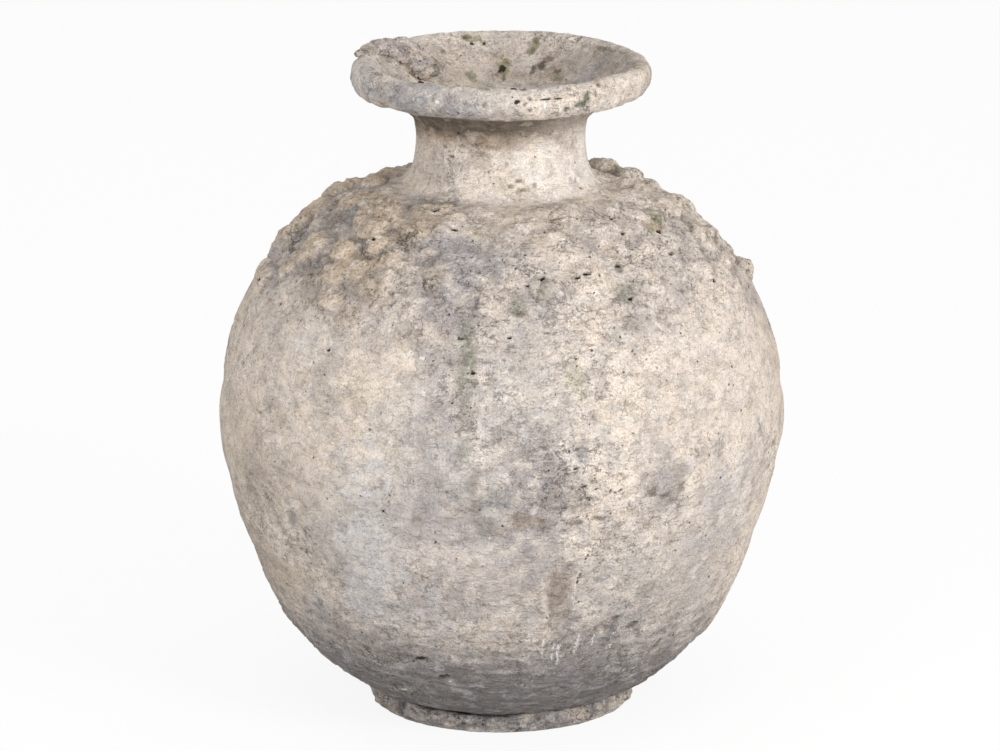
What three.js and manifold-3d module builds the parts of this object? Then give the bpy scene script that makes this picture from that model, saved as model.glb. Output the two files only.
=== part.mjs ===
// A wide jar of coarse fired clay, raised in sections that are luted together, with a crust of lumps on its shoulder.
// Millimetres, +Z up. The origin is on the jar's axis, at the ground. The front is -Y, and +X is to the right.
import * as THREE from 'three';
import { mergeVertices } from 'three/addons/utils/BufferGeometryUtils.js';
import Module from 'manifold-3d';

// Wall and clearances
const wallThickness = 15;
const slipGap = 0.3; // room left between two sections for the slip that joins them
const lapDepth = 12; // how far a section's inner half runs up inside the next section

// Foot
const footHeight = 14;
const footRadius = 110;
const footFlare = 4; // the ring widens by this from the ground to its top
const footBulge = 1.5;
const footLedge = 10; // the ring's top stands out past the body by this
const wallSeatWidth = 7.7; // flat width on which the lower wall stands
const baseSeatWidth = 10; // flat width on which the floor lies
const baseThickness = 14;

// Body
const knuckleHeight = 74;
const knuckleRadius = 182;
const lowerBulge = 6.5;
const middleBulge = 8;
const bellyHeight = 251;
const bellyRadius = 240; // over the band
const bandWidth = 58;
const bandThickness = 4.5;
const bandEdge = 0.7; // thickness left at the band's upper and lower edge
const shoulderBulge = 43;
const upperShoulderLength = 125; // along the wall, from the neck down to the seam with the section below

// Neck
const neckBaseHeight = 455;
const neckBaseRadius = 79;
const neckHeight = 55;
const neckTopRadius = 73.5;
const neckWaist = 4.5; // how far the neck is drawn in between its ends
const neckBore = 58;
const spigotThickness = 7;
const spigotDepth = 16;
const coilReach = 13; // how far the coil runs up the neck and out over the shoulder
const coilEdge = 1;
const coilHollow = 2.5;

// Mouth
const mouthHeight = 48;
const throatHeight = 10;
const tongueLength = 6; // the collar's tongue runs up inside the mouth's foot
const lipThickness = 27;
const lipUnderRadius = 118;
const crestOuterRadius = 119;
const crestInnerRadius = 108;
const crestDrop = 2; // the crest's inner edge is lower than its outer edge by this
const crestRise = 1.5;
const lipBulge = 8;
const flareHollow = 5;
const dishHollow = 3;
const rimLumpRadius = 10;
const rimLumpFlatness = 0.5; // height of a lump on the rim against its width

// Crust on the shoulder
const crustClearance = 2; // room between the coil and the crust
const crustLength = 163;
const crustSkin = 2; // thickness between the lumps
const crustEdge = 1;
const crustWander = 24; // how far the lumps draw back from its lower edge, where they do most
const lumpCount = 170;
const lumpWidth = { least: 19, most: 38 };
const lumpRise = { least: 3, most: 8 };

// Facets
const wallSides = 40;
const crustColumnsPerFacet = 4;
const crustRows = 24;

// Places that follow from the sizes
const footTopRadius = footRadius + footFlare;
const bodyFootRadius = footTopRadius - footLedge;
const baseRadius = bodyFootRadius - wallSeatWidth - slipGap;
const footBore = baseRadius - baseSeatWidth;
const bellyWallRadius = bellyRadius - bandThickness;
const bandBottomHeight = bellyHeight - bandWidth / 2;
const bandTopHeight = bellyHeight + bandWidth / 2;
const neckTopHeight = neckBaseHeight + neckHeight;
const mouthTopHeight = neckTopHeight + mouthHeight;
const crustStart = coilReach + crustClearance; // distance of its upper edge from the neck, along the wall

const at = (radius, height) => new THREE.Vector2(radius, height);

// Points of a circular arc between two points. Going up the outside, a positive rise bulges away from the axis.
function arc(start, end, rise, steps) {
  const chord = end.clone().sub(start);
  const middle = start.clone().lerp(end, 0.5);
  const outward = at(chord.y, -chord.x).normalize();
  const radius = (chord.lengthSq() / 4 + rise * rise) / (2 * rise);
  const centre = middle.addScaledVector(outward, rise - radius);
  const first = start.clone().sub(centre);
  const sweep = -4 * Math.atan((2 * rise) / chord.length());
  const points = [];
  for (let i = 0; i <= steps; i += 1) {
    points.push(first.clone().rotateAround(at(0, 0), (-sweep * i) / steps).add(centre));
  }
  return points;
}

// The line at a distance to the inner side of a line, with mitred corners. Both have the same number of points.
function offsetLine(line, distance, isClosed = false) {
  const last = line.length - 1;
  return line.map((point, i) => {
    const before = line[i > 0 ? i - 1 : last];
    const after = line[i < last ? i + 1 : 0];
    const arriving = point.clone().sub(before).normalize();
    const leaving = after.clone().sub(point).normalize();
    const first = i > 0 || isClosed ? arriving : leaving;
    const second = i < last || isClosed ? leaving : arriving;
    const inward = at(-first.y - second.y, first.x + second.x).normalize();
    const mitre = inward.dot(at(-first.y, first.x));
    return point.clone().addScaledVector(inward, distance / mitre);
  });
}

// Distance of each point of a line from its start.
function distancesAlong(line) {
  const distances = [0];
  for (let i = 1; i < line.length; i += 1) {
    distances.push(distances[i - 1] + line[i].distanceTo(line[i - 1]));
  }
  return distances;
}

// The wall's outer line, from the foot to the neck, and places on it by their distance from the foot.
const bodyFoot = at(bodyFootRadius, footHeight);
const knuckle = at(knuckleRadius, knuckleHeight);
const bandBottom = at(bellyWallRadius, bandBottomHeight);
const bandTop = at(bellyWallRadius, bandTopHeight);
const neckBase = at(neckBaseRadius, neckBaseHeight);
const lowerLine = arc(bodyFoot, knuckle, lowerBulge, 3);
const middleLine = arc(knuckle, bandBottom, middleBulge, 4);
const shoulderLine = arc(bandTop, neckBase, shoulderBulge, 8);
const wallLine = [...lowerLine, ...middleLine.slice(1), ...shoulderLine];
const wallDistances = distancesAlong(wallLine);
const wallLength = wallDistances.at(-1);
const knuckleAt = wallDistances[lowerLine.length - 1];
const bellySeamAt = wallDistances[lowerLine.length + middleLine.length - 2] + bandWidth / 2;
const shoulderSeamAt = wallLength - upperShoulderLength;

// The point of a line at a distance from its start, where each of its points has the distance given for it.
function pointOn(line, distances, distance) {
  const next = distances.findIndex((d, i) => i > 0 && d >= distance);
  const i = next < 0 ? line.length - 1 : next;
  const share = (distance - distances[i - 1]) / (distances[i] - distances[i - 1]);
  return line[i - 1].clone().lerp(line[i], share);
}

// A point at a distance along the wall and a depth into it.
const wallPoint = (distance, depth) => pointOn(offsetLine(wallLine, depth), wallDistances, distance);

// The wall's points from one distance to another, at one depth, with every corner between them.
function wallStretch(from, to, depth) {
  const corners = wallDistances.filter((d) => d > from + slipGap && d < to - slipGap);
  return [from, ...corners, to].map((distance) => wallPoint(distance, depth));
}

// The upper end of a section: its inner half runs on past the seam.
function lapAbove(seam) {
  const gap = slipGap / 2;
  return wallStretch(seam - gap, seam + lapDepth - gap, wallThickness / 2 + gap);
}

// The lower end of a section: its inner half starts above the tongue of the section below.
function lapBelow(seam) {
  const gap = slipGap / 2;
  return wallStretch(seam + gap, seam + lapDepth + gap, wallThickness / 2 - gap).reverse();
}

// Builds a closed ring, or a disc, from the closed outline that each column of points has.
function ringFromColumns(columns) {
  const sides = columns.length;
  const count = columns[0].length;
  const positions = [];
  const faces = [];
  columns.forEach((outline, side) => {
    const turn = (2 * Math.PI * side) / sides;
    outline.forEach((point) => {
      positions.push(point.x * Math.sin(turn), -point.x * Math.cos(turn), point.y);
    });
    for (let i = 0; i < count; i += 1) {
      const here = side * count + i;
      const above = side * count + ((i + 1) % count);
      const beside = ((side + 1) % sides) * count + i;
      const across = ((side + 1) % sides) * count + ((i + 1) % count);
      faces.push(here, beside, across, here, across, above);
    }
  });
  const geometry = new THREE.BufferGeometry();
  geometry.setAttribute('position', new THREE.Float32BufferAttribute(positions, 3));
  geometry.setIndex(faces);
  return geometry;
}

// A ring turned from one closed outline, which goes up the outside and down the inside.
function turned(outline) {
  return ringFromColumns(Array.from({ length: wallSides }, () => outline));
}

function footRing() {
  const outside = arc(at(footRadius, 0), at(footTopRadius, footHeight), footBulge, 2);
  return turned([...outside, at(footBore, footHeight), at(footBore, 0)]);
}

function baseSlab() {
  const slab = new THREE.CylinderGeometry(baseRadius, baseRadius, baseThickness, wallSides);
  slab.rotateX(Math.PI / 2);
  slab.translate(0, 0, footHeight + baseThickness / 2);
  return slab;
}

function lowerWall() {
  const gap = slipGap / 2;
  const innerFoot = wallPoint(0, wallThickness);
  const seatEdge = baseRadius + slipGap;
  return turned([
    ...wallStretch(0, knuckleAt - gap, 0),
    ...lapAbove(knuckleAt),
    ...wallStretch(0, knuckleAt + lapDepth - gap, wallThickness).reverse(),
    at(seatEdge, innerFoot.y),
    at(seatEdge, footHeight),
  ]);
}

// A section of the wall between two seams.
function wallSection(lowerSeam, upperSeam) {
  const gap = slipGap / 2;
  return turned([
    ...wallStretch(lowerSeam + gap, upperSeam - gap, 0),
    ...lapAbove(upperSeam),
    ...wallStretch(lowerSeam + lapDepth + gap, upperSeam + lapDepth - gap, wallThickness).reverse(),
    ...lapBelow(lowerSeam),
  ]);
}

// The last section ends in a flat seat for the collar, round the opening that takes the collar's spigot.
function upperShoulder() {
  const gap = slipGap / 2;
  const openingRadius = neckBore + spigotThickness + slipGap;
  const inside = wallStretch(shoulderSeamAt + lapDepth + gap, wallLength, wallThickness).reverse();
  return turned([
    ...wallStretch(shoulderSeamAt + gap, wallLength, 0),
    at(openingRadius, neckBaseHeight),
    at(openingRadius, inside[0].y),
    ...inside,
    ...lapBelow(shoulderSeamAt),
  ]);
}

function bellyBand() {
  const inner = bellyWallRadius + slipGap;
  const edge = inner + bandEdge;
  const outside = arc(at(edge, bandBottomHeight), at(edge, bandTopHeight), bellyRadius - edge, 4);
  return turned([at(inner, bandBottomHeight), ...outside, at(inner, bandTopHeight)]);
}

const collarLine = arc(neckBase, at(neckTopRadius, neckTopHeight), -neckWaist, 4);

// The collar stands on the shoulder's seat, its spigot in the opening. Its tongue fits inside the mouth's foot.
function neckCollar() {
  const spigotRadius = neckBore + spigotThickness;
  return turned([
    ...collarLine,
    at(spigotRadius, neckTopHeight),
    at(spigotRadius, neckTopHeight + tongueLength - slipGap),
    at(neckBore, neckTopHeight + tongueLength - slipGap),
    at(neckBore, neckBaseHeight - spigotDepth),
    at(spigotRadius, neckBaseHeight - spigotDepth),
    at(spigotRadius, neckBaseHeight),
  ]);
}

// The coil fills the corner between the shoulder and the collar, with a hollow face.
function neckCoil() {
  const [corner, above] = collarLine;
  const out = wallPoint(wallLength - coilReach, 0);
  const up = corner.clone().lerp(above, coilReach / corner.distanceTo(above));
  const seat = offsetLine([out, corner, up], -slipGap);
  const [outEdge, , upEdge] = offsetLine([out, corner, up], -slipGap - coilEdge);
  return turned([...arc(outEdge, upEdge, -coilHollow, 4), ...seat.reverse()]);
}

const crestOuter = at(crestOuterRadius, mouthTopHeight);
const crestInner = at(crestInnerRadius, mouthTopHeight - crestDrop);
const throat = at(neckBore, neckTopHeight + throatHeight);
const dishLine = [...arc(crestOuter, crestInner, crestRise, 2), ...arc(crestInner, throat, -dishHollow, 4).slice(1)];

function mouthOutline() {
  const footEdge = neckBore + spigotThickness + slipGap;
  const lipUnder = at(lipUnderRadius, mouthTopHeight - lipThickness);
  return [
    ...arc(at(neckTopRadius, neckTopHeight), lipUnder, -flareHollow, 3),
    ...arc(lipUnder, crestOuter, lipBulge, 4).slice(1),
    ...dishLine.slice(1),
    at(neckBore, neckTopHeight + tongueLength),
    at(footEdge, neckTopHeight + tongueLength),
    at(footEdge, neckTopHeight),
  ];
}

// Repeatable random numbers from 0 to 1.
function randomSource(seed) {
  let state = seed;
  return () => {
    state = (state * 1664525 + 1013904223) % 4294967296;
    return state / 4294967296;
  };
}

// Lumps that stand out in the photograph: degrees right of the front, share of the crust's length from its upper
// edge, and shares of the width and rise of the largest strewn lump.
const shownLumps = [
  { bearing: 122, along: 0.07, width: 0.8, rise: 1.1 },
  { bearing: 104, along: 0.12, width: 0.7, rise: 1.1 },
  { bearing: 88, along: 0.17, width: 0.75, rise: 0.9 },
  { bearing: 80, along: 0.31, width: 0.8, rise: 0.9 },
  { bearing: 76, along: 0.56, width: 0.75, rise: 0.75 },
  { bearing: 89, along: 0.84, width: 0.65, rise: 0.9 },
  { bearing: 36, along: 0.28, width: 0.65, rise: 0.55 },
  { bearing: 58, along: 0.25, width: 0.7, rise: 0.6 },
  { bearing: 12, along: 0.62, width: 0.75, rise: 0.5 },
  { bearing: -19, along: 0.14, width: 0.55, rise: 0.75 },
  { bearing: -27, along: 0.07, width: 0.65, rise: 0.9 },
  { bearing: -33, along: 0.27, width: 0.55, rise: 0.65 },
  { bearing: -41, along: 0.42, width: 0.65, rise: 0.8 },
  { bearing: -47, along: 0.32, width: 0.8, rise: 1 },
  { bearing: -51, along: 0.5, width: 0.65, rise: 0.8 },
  { bearing: -57, along: 0.24, width: 0.6, rise: 0.7 },
  { bearing: -86, along: 0.52, width: 0.9, rise: 0.9 },
  { bearing: -87, along: 0.82, width: 0.7, rise: 0.65 },
  { bearing: -95, along: 0.08, width: 0.65, rise: 0.75 },
  { bearing: -104, along: 0.31, width: 0.9, rise: 1 },
];

// Places where the crust is worn smooth: degrees right of the front, share of the crust's length from its upper edge,
// half its width and height as shares of the crust's length, and the share of the strewn lumps' rise that is gone.
const wornPlaces = [
  { bearing: -11, along: 0.3, halfWidth: 0.14, halfHeight: 0.34, worn: 0.85 },
  { bearing: 2, along: 0, halfWidth: 0.4, halfHeight: 0.12, worn: 0.7 },
  { bearing: 20, along: 0.55, halfWidth: 0.32, halfHeight: 0.4, worn: 0.5 },
  { bearing: 48, along: 0.9, halfWidth: 0.5, halfHeight: 0.35, worn: 0.7 },
  { bearing: -40, along: 0.95, halfWidth: 0.6, halfHeight: 0.25, worn: 0.6 },
];

const belowNeck = (along) => crustStart + crustLength * along;

const placedLumps = () => shownLumps.map((lump) => ({
  bearing: lump.bearing,
  below: belowNeck(lump.along),
  width: lumpWidth.most * lump.width,
  rise: lumpRise.most * lump.rise,
}));

function strewnLumps() {
  const random = randomSource(7);
  return Array.from({ length: lumpCount }, () => ({
    bearing: 360 * random() - 180,
    below: belowNeck(random()),
    width: THREE.MathUtils.lerp(lumpWidth.least, lumpWidth.most, random()),
    rise: THREE.MathUtils.lerp(lumpRise.least, lumpRise.most, random()),
  }));
}

// Distance round the wall from one bearing to another, at a distance below the neck.
function distanceRound(from, to, below) {
  const turn = ((to - from + 540) % 360) - 180;
  return THREE.MathUtils.degToRad(turn) * wallPoint(wallLength - below, 0).x;
}

// Height of the highest of some lumps at one place.
function lumpHeight(lumps, bearing, below) {
  const heights = lumps.map((lump) => {
    const across = distanceRound(lump.bearing, bearing, below);
    const nearness = 1 - (across ** 2 + (below - lump.below) ** 2) / (lump.width / 2) ** 2;
    return lump.rise * Math.sqrt(Math.max(nearness, 0));
  });
  return Math.max(...heights);
}

// Share of their rise that the strewn lumps have lost at one place.
function wearAt(bearing, below) {
  const shares = wornPlaces.map((place) => {
    const across = distanceRound(place.bearing, bearing, below) / (crustLength * place.halfWidth);
    const along = (below - belowNeck(place.along)) / (crustLength * place.halfHeight);
    return place.worn * Math.exp(-(across ** 2) - along ** 2);
  });
  return Math.max(...shares);
}

// How far the lumps draw back from the crust's lower edge at a bearing.
function drawBack(bearing) {
  const turn = THREE.MathUtils.degToRad(bearing);
  return (crustWander * (2 + Math.sin(3 * turn + 1) + Math.sin(7 * turn + 2))) / 4;
}

// The crust's underside keeps to the wall's flat facets, and its upper side carries the lumps.
function shoulderCrust() {
  const shown = placedLumps();
  const strewn = strewnLumps();
  const crustSides = crustColumnsPerFacet * wallSides;
  const facetAngle = (2 * Math.PI) / wallSides;
  const top = wallLength - crustStart;
  const underside = wallStretch(top - crustLength, top, -slipGap).reverse();
  const columns = Array.from({ length: crustSides }, (_, side) => {
    const bearing = (360 * side) / crustSides;
    const lumpsEnd = crustStart + crustLength - drawBack(bearing);
    const upper = Array.from({ length: crustRows }, (_unused, row) => {
      const below = belowNeck(1 - row / (crustRows - 1));
      const isLumpy = row > 0 && row < crustRows - 1 && below < lumpsEnd;
      const strewnHeight = lumpHeight(strewn, bearing, below) * (1 - wearAt(bearing, below));
      const lumps = Math.max(strewnHeight, lumpHeight(shown, bearing, below));
      return wallPoint(wallLength - below, -slipGap - (isLumpy ? crustSkin + lumps : crustEdge));
    });
    const fromFacetMiddle = ((side % crustColumnsPerFacet) / crustColumnsPerFacet - 0.5) * facetAngle;
    const narrowing = Math.cos(facetAngle / 2) / Math.cos(fromFacetMiddle);
    return [...upper, ...underside].map((point) => at(point.x * narrowing, point.y));
  });
  return ringFromColumns(columns);
}

const wasm = await Module();
wasm.setup();

function asSolid(geometry) {
  const bare = geometry.clone();
  bare.deleteAttribute('normal');
  bare.deleteAttribute('uv');
  const merged = mergeVertices(bare, 1e-3);
  const triVerts = new Uint32Array(merged.index.array);
  return new wasm.Manifold(new wasm.Mesh({ numProp: 3, vertProperties: merged.attributes.position.array, triVerts }));
}

function asGeometry(solid) {
  const mesh = solid.getMesh();
  const geometry = new THREE.BufferGeometry();
  geometry.setAttribute('position', new THREE.BufferAttribute(mesh.vertProperties, 3));
  geometry.setIndex(new THREE.BufferAttribute(mesh.triVerts, 1));
  return geometry;
}

// Lumps of the rim's crust: degrees right of the front, share of the way from the crest's outer edge to the throat,
// and size against rimLumpRadius.
const rimLumps = [
  { bearing: -112, inwards: 0.01, size: 0.9 },
  { bearing: -117, inwards: 0.07, size: 1.1 },
  { bearing: -121, inwards: 0, size: 1 },
  { bearing: -125, inwards: 0.1, size: 1 },
  { bearing: -131, inwards: 0.12, size: 1 },
  { bearing: -128, inwards: 0.26, size: 1.1 },
  { bearing: -134, inwards: 0.38, size: 1.3 },
  { bearing: -133, inwards: 0.56, size: 0.8 },
];

// The rim's crust is a cluster of lumps, cut away where the mouth is.
function rimCrust() {
  const clearOfMouth = asSolid(turned(offsetLine(mouthOutline(), -slipGap, true)));
  const dishDistances = distancesAlong(dishLine);
  const balls = rimLumps.map((lump) => {
    const ball = new THREE.IcosahedronGeometry(rimLumpRadius * lump.size, 1);
    const turn = THREE.MathUtils.degToRad(lump.bearing);
    const place = pointOn(dishLine, dishDistances, dishDistances.at(-1) * lump.inwards);
    ball.scale(1, 1, rimLumpFlatness);
    ball.translate(place.x * Math.sin(turn), -place.x * Math.cos(turn), place.y);
    return asSolid(ball);
  });
  const cluster = balls.reduce((joined, ball) => joined.add(ball));
  return asGeometry(cluster.subtract(clearOfMouth));
}

const clay = { cream: 0xc9bba6, grey: 0xa9a399, brown: 0x9c9184, crust: 0xaaa192 };

function piece(name, geometry, color) {
  const material = new THREE.MeshStandardMaterial({ color, roughness: 0.95, metalness: 0 });
  const mesh = new THREE.Mesh(geometry, material);
  mesh.name = name;
  return mesh;
}

const group = new THREE.Group();
group.add(
  piece('foot_ring', footRing(), clay.brown),
  piece('base_slab', baseSlab(), clay.brown),
  piece('lower_wall', lowerWall(), clay.grey),
  piece('middle_wall', wallSection(knuckleAt, bellySeamAt), clay.cream),
  piece('shoulder_wall', wallSection(bellySeamAt, shoulderSeamAt), clay.cream),
  piece('upper_shoulder', upperShoulder(), clay.cream),
  piece('belly_band', bellyBand(), clay.cream),
  piece('neck_collar', neckCollar(), clay.cream),
  piece('neck_coil', neckCoil(), clay.cream),
  piece('mouth_rim', turned(mouthOutline()), clay.grey),
  piece('shoulder_crust', shoulderCrust(), clay.crust),
  piece('rim_crust', rimCrust(), clay.crust),
);

export default group;
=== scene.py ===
# A wide, weathered earthenware jar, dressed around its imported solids.
# Sums are in millimetres, and meshes in metres. The front is -Y. A bearing is in degrees to the right of
# the front, and a distance runs up the jar's skin from the foot ring, over the lip and into the mouth.
import itertools
import math

import bpy
import numpy as np
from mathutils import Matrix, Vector


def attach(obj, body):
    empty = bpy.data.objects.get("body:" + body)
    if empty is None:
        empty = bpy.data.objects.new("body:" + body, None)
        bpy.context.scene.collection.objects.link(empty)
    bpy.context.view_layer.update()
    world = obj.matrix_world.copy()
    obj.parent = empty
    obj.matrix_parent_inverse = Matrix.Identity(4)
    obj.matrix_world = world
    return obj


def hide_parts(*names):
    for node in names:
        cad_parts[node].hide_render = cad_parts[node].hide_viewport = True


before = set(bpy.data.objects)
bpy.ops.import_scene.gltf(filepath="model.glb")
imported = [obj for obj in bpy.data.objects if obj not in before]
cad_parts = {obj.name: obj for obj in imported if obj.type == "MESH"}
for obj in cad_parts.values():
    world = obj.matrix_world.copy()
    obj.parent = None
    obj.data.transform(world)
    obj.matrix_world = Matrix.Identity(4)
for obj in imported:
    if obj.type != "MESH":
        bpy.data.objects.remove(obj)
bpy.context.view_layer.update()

MM = 0.001

# The jar's sizes, as in its solids
foot_height = 14
foot_radius = 110
foot_top_radius = 114
foot_bulge = 1.5
foot_bore = 86
body_foot_radius = 104
base_radius = 96
base_thickness = 14
wall_thickness = 15
knuckle_height = 74
knuckle_radius = 182
lower_bulge = 6.5
middle_bulge = 8
band_bottom_height = 222
band_top_height = 280
band_thickness = 4.5
belly_wall_radius = 235.5
shoulder_bulge = 43
shoulder_seam_reach = 125  # from the neck's foot down to the seam under the crust
neck_base_height = 455
neck_base_radius = 79
neck_top_height = 510
neck_top_radius = 73.5
neck_waist = 4.5
neck_bore = 58
spigot_radius = 65
spigot_depth = 16
coil_reach = 13
coil_hollow = 4
mouth_top_height = 558
throat_height = 10
tongue_length = 6
slip_gap = 0.3
lip_thickness = 27
lip_under_radius = 118
crest_outer_radius = 119
crest_inner_radius = 108
crest_drop = 2
crest_rise = 1.5
lip_bulge = 8
flare_hollow = 5
dish_hollow = 3
crust_start = 15  # from the neck's foot down to the crust's upper edge
crust_length = 163
lump_count = 170
least_lump_width = 19
most_lump_width = 38
least_lump_rise = 3
most_lump_rise = 8

crust_reach = crust_start + crust_length

# Finish of the meshes
corner_softness = 2.5  # how far the skin's corners are rounded
normal_softness = 6
sink = 3  # how far a hidden surface lies under the one that covers it
body_columns = 840
neck_columns = 600
foot_columns = 560
base_columns = 240
rim_voxel = 1.0

# Camera and light
camera_lens = 184.2
camera_place = (-0.0007, -4.2027, 1.4439)
camera_tilt = 15.44  # degrees below the level
sky_strength = 0.78


def arc(start, end, rise, steps=60):
    """Points of a circular arc. Going up the outside, a positive rise bulges away from the axis."""
    start, end = np.array(start, float), np.array(end, float)
    chord = end - start
    length = np.hypot(*chord)
    outward = np.array([chord[1], -chord[0]]) / length
    radius = (length**2 / 4 + rise**2) / (2 * rise)
    centre = (start + end) / 2 + outward * (rise - radius)
    turn = 4 * math.atan(2 * rise / length) * np.linspace(0, 1, steps + 1)
    x, y = start - centre
    cos, sin = np.cos(turn), np.sin(turn)
    return centre + np.stack([x * cos - y * sin, x * sin + y * cos], axis=1)


def lengths(line):
    """Distance of each point of a line from its start."""
    return np.concatenate([[0], np.cumsum(np.hypot(*np.diff(line, axis=0).T))])


def cut_line(line, start, end):
    """The points of a line between two distances from its start."""
    along = lengths(line)
    steps = np.linspace(start, min(end, along[-1]), 80)
    return np.stack([np.interp(steps, along, line[:, i]) for i in (0, 1)], axis=1)


def softened(values, reach, spacing):
    """Values averaged over their neighbours along the line, with its ends kept."""
    steps = np.arange(-3 * reach, 3 * reach + spacing, spacing)
    weights = np.exp(-((steps / reach) ** 2) / 2)
    pad = len(steps) // 2
    padded = np.pad(values, pad, mode="reflect", reflect_type="odd")
    return np.convolve(padded, weights / weights.sum(), mode="valid")[: len(values)]


class Skin:
    """The jar's outer line from foot to throat, smoothed, with its normals and where each part of it ends."""

    def __init__(self):
        knuckle = (knuckle_radius, knuckle_height)
        band_bottom = (belly_wall_radius, band_bottom_height)
        band_top = (belly_wall_radius, band_top_height)
        neck_base = (neck_base_radius, neck_base_height)
        neck_top = (neck_top_radius, neck_top_height)
        shoulder = arc(band_top, neck_base, shoulder_bulge)
        collar = arc(neck_base, neck_top, -neck_waist)
        shoulder_length = lengths(shoulder)[-1]
        shoulder = cut_line(shoulder, 0, shoulder_length - coil_reach)
        collar = cut_line(collar, coil_reach, math.inf)
        lip_under = (lip_under_radius, mouth_top_height - lip_thickness)
        crest_outer = (crest_outer_radius, mouth_top_height)
        crest_inner = (crest_inner_radius, mouth_top_height - crest_drop)
        parts = {
            "lower": arc((body_foot_radius, foot_height), knuckle, lower_bulge),
            "middle": arc(knuckle, band_bottom, middle_bulge),
            "band": arc(band_bottom, band_top, band_thickness),
            "shoulder": shoulder,
            "coil": arc(shoulder[-1], collar[0], -coil_hollow),
            "collar": collar,
            "flare": arc(neck_top, lip_under, -flare_hollow),
            "lip": arc(lip_under, crest_outer, lip_bulge),
            "crest": arc(crest_outer, crest_inner, crest_rise),
            "dish": arc(crest_inner, (neck_bore, neck_top_height + throat_height), -dish_hollow),
        }
        self.ends = {}
        total = 0
        for name, line in parts.items():
            total += lengths(line)[-1]
            self.ends[name] = total
        line = np.concatenate(list(parts.values()))
        along = lengths(line)
        spacing = 0.5
        self.distance = np.arange(0, total, spacing)
        self.radius, self.height = (
            softened(np.interp(self.distance, along, line[:, i]), corner_softness, spacing) for i in (0, 1)
        )
        slope_out = np.gradient(self.radius)
        slope_up = np.gradient(self.height)
        steepness = np.hypot(slope_out, slope_up)
        self.out = softened(slope_up / steepness, normal_softness, spacing)
        self.up = softened(-slope_out / steepness, normal_softness, spacing)

    def at(self, distance):
        """Radius and height at a distance, and how far the normal there points out and up."""
        lines = (self.radius, self.height, self.out, self.up)
        return [np.interp(distance, self.distance, values) for values in lines]

    def at_height(self, height):
        """Distance of a height on the body or the neck."""
        body = self.distance <= self.ends["collar"]
        return float(np.interp(height, self.height[body], self.distance[body]))


skin = Skin()
neck_foot = skin.ends["shoulder"] + coil_reach  # where the shoulder's own line would reach the neck
neck_top = skin.ends["collar"]


def past_neck(along):
    """Distance of a place that is given by how far it lies past the neck's top."""
    return neck_top + along


def bearings(columns):
    """The bearing of each column of a grid."""
    return np.linspace(-180, 180, columns, endpoint=False)


class Ground:
    """A stretch of the skin as a grid: a row for each step along it, and a column for each step round it.
    It has some rows beyond each end, so that what is worked out from neighbours goes on over a seam."""

    margin = 12

    def __init__(self, start, end, rows, columns):
        row_step = (end - start) / (rows - 1)
        distances = start + row_step * np.arange(-self.margin, rows + self.margin)
        self.distance, self.bearing = np.meshgrid(distances, bearings(columns), indexing="ij")
        self.radius, self.height, out, up = skin.at(self.distance)
        turn = np.radians(self.bearing)
        round_x, round_y = np.sin(turn), -np.cos(turn)
        self.points = np.stack([self.radius * round_x, self.radius * round_y, self.height], axis=-1)
        self.normals = np.stack([out * round_x, out * round_y, up], axis=-1)

    def kept(self, values):
        """The grid's values without the rows beyond its ends."""
        return values[self.margin : -self.margin]

    def turn_from(self, bearing):
        """Degrees round the jar from a bearing, the short way."""
        return (self.bearing - bearing + 540) % 360 - 180

    def offsets(self, bearing, distance):
        """Millimetres round and along the skin from a place on it."""
        return np.radians(self.turn_from(bearing)) * self.radius, self.distance - distance


def scramble(cells, seed):
    """A repeatable random whole number for each whole-numbered cell of space."""
    x, y, z = (cells[..., i].astype(np.uint32) for i in range(3))
    mixed = x * np.uint32(0x9E3779B1) ^ y * np.uint32(0x85EBCA77) ^ z * np.uint32(0xC2B2AE3D)
    mixed = mixed ^ np.uint32(seed * 0x27D4EB2F & 0xFFFFFFFF)
    for shift, factor in ((15, 0x2C1B3C6D), (12, 0x297A2D39)):
        mixed = (mixed ^ (mixed >> np.uint32(shift))) * np.uint32(factor)
    return mixed ^ (mixed >> np.uint32(15))


def three_shares(mixed):
    """Three random shares from 0 to 1 out of each scrambled number."""
    return [((mixed >> np.uint32(shift)) & np.uint32(1023)) / 1023 for shift in (0, 10, 20)]


def noise(points, size, seed):
    """Smooth noise, mostly from -1 to 1, with features about size wide. Size may differ along X, Y and Z."""
    scaled = points / size
    home = np.floor(scaled)
    part = scaled - home
    home = home.astype(np.int64)
    ease = part**3 * (part * (part * 6 - 15) + 10)
    total = 0
    for corner in itertools.product((0, 1), repeat=3):
        slopes = three_shares(scramble(home + np.array(corner), seed))
        value = sum((slopes[i] * 2 - 1) * (part[..., i] - corner[i]) for i in range(3))
        for i in range(3):
            value = value * (ease[..., i] if corner[i] else 1 - ease[..., i])
        total = total + value
    return total * 1.7


def rough_noise(points, size, seed, octaves=4, gain=0.55):
    """Noise with finer and weaker noise on top of it."""
    total, weight = 0, 0
    for octave in range(octaves):
        total = total + noise(points, np.array(size) / 2**octave, seed + 31 * octave) * gain**octave
        weight += gain**octave
    return total / weight * 1.4


def step(value, low, high):
    """0 below low, 1 above high and a soft slope between them. High may be the lower of the two."""
    share = np.clip((value - low) / (high - low), 0, 1)
    return share * share * (3 - 2 * share)


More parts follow.
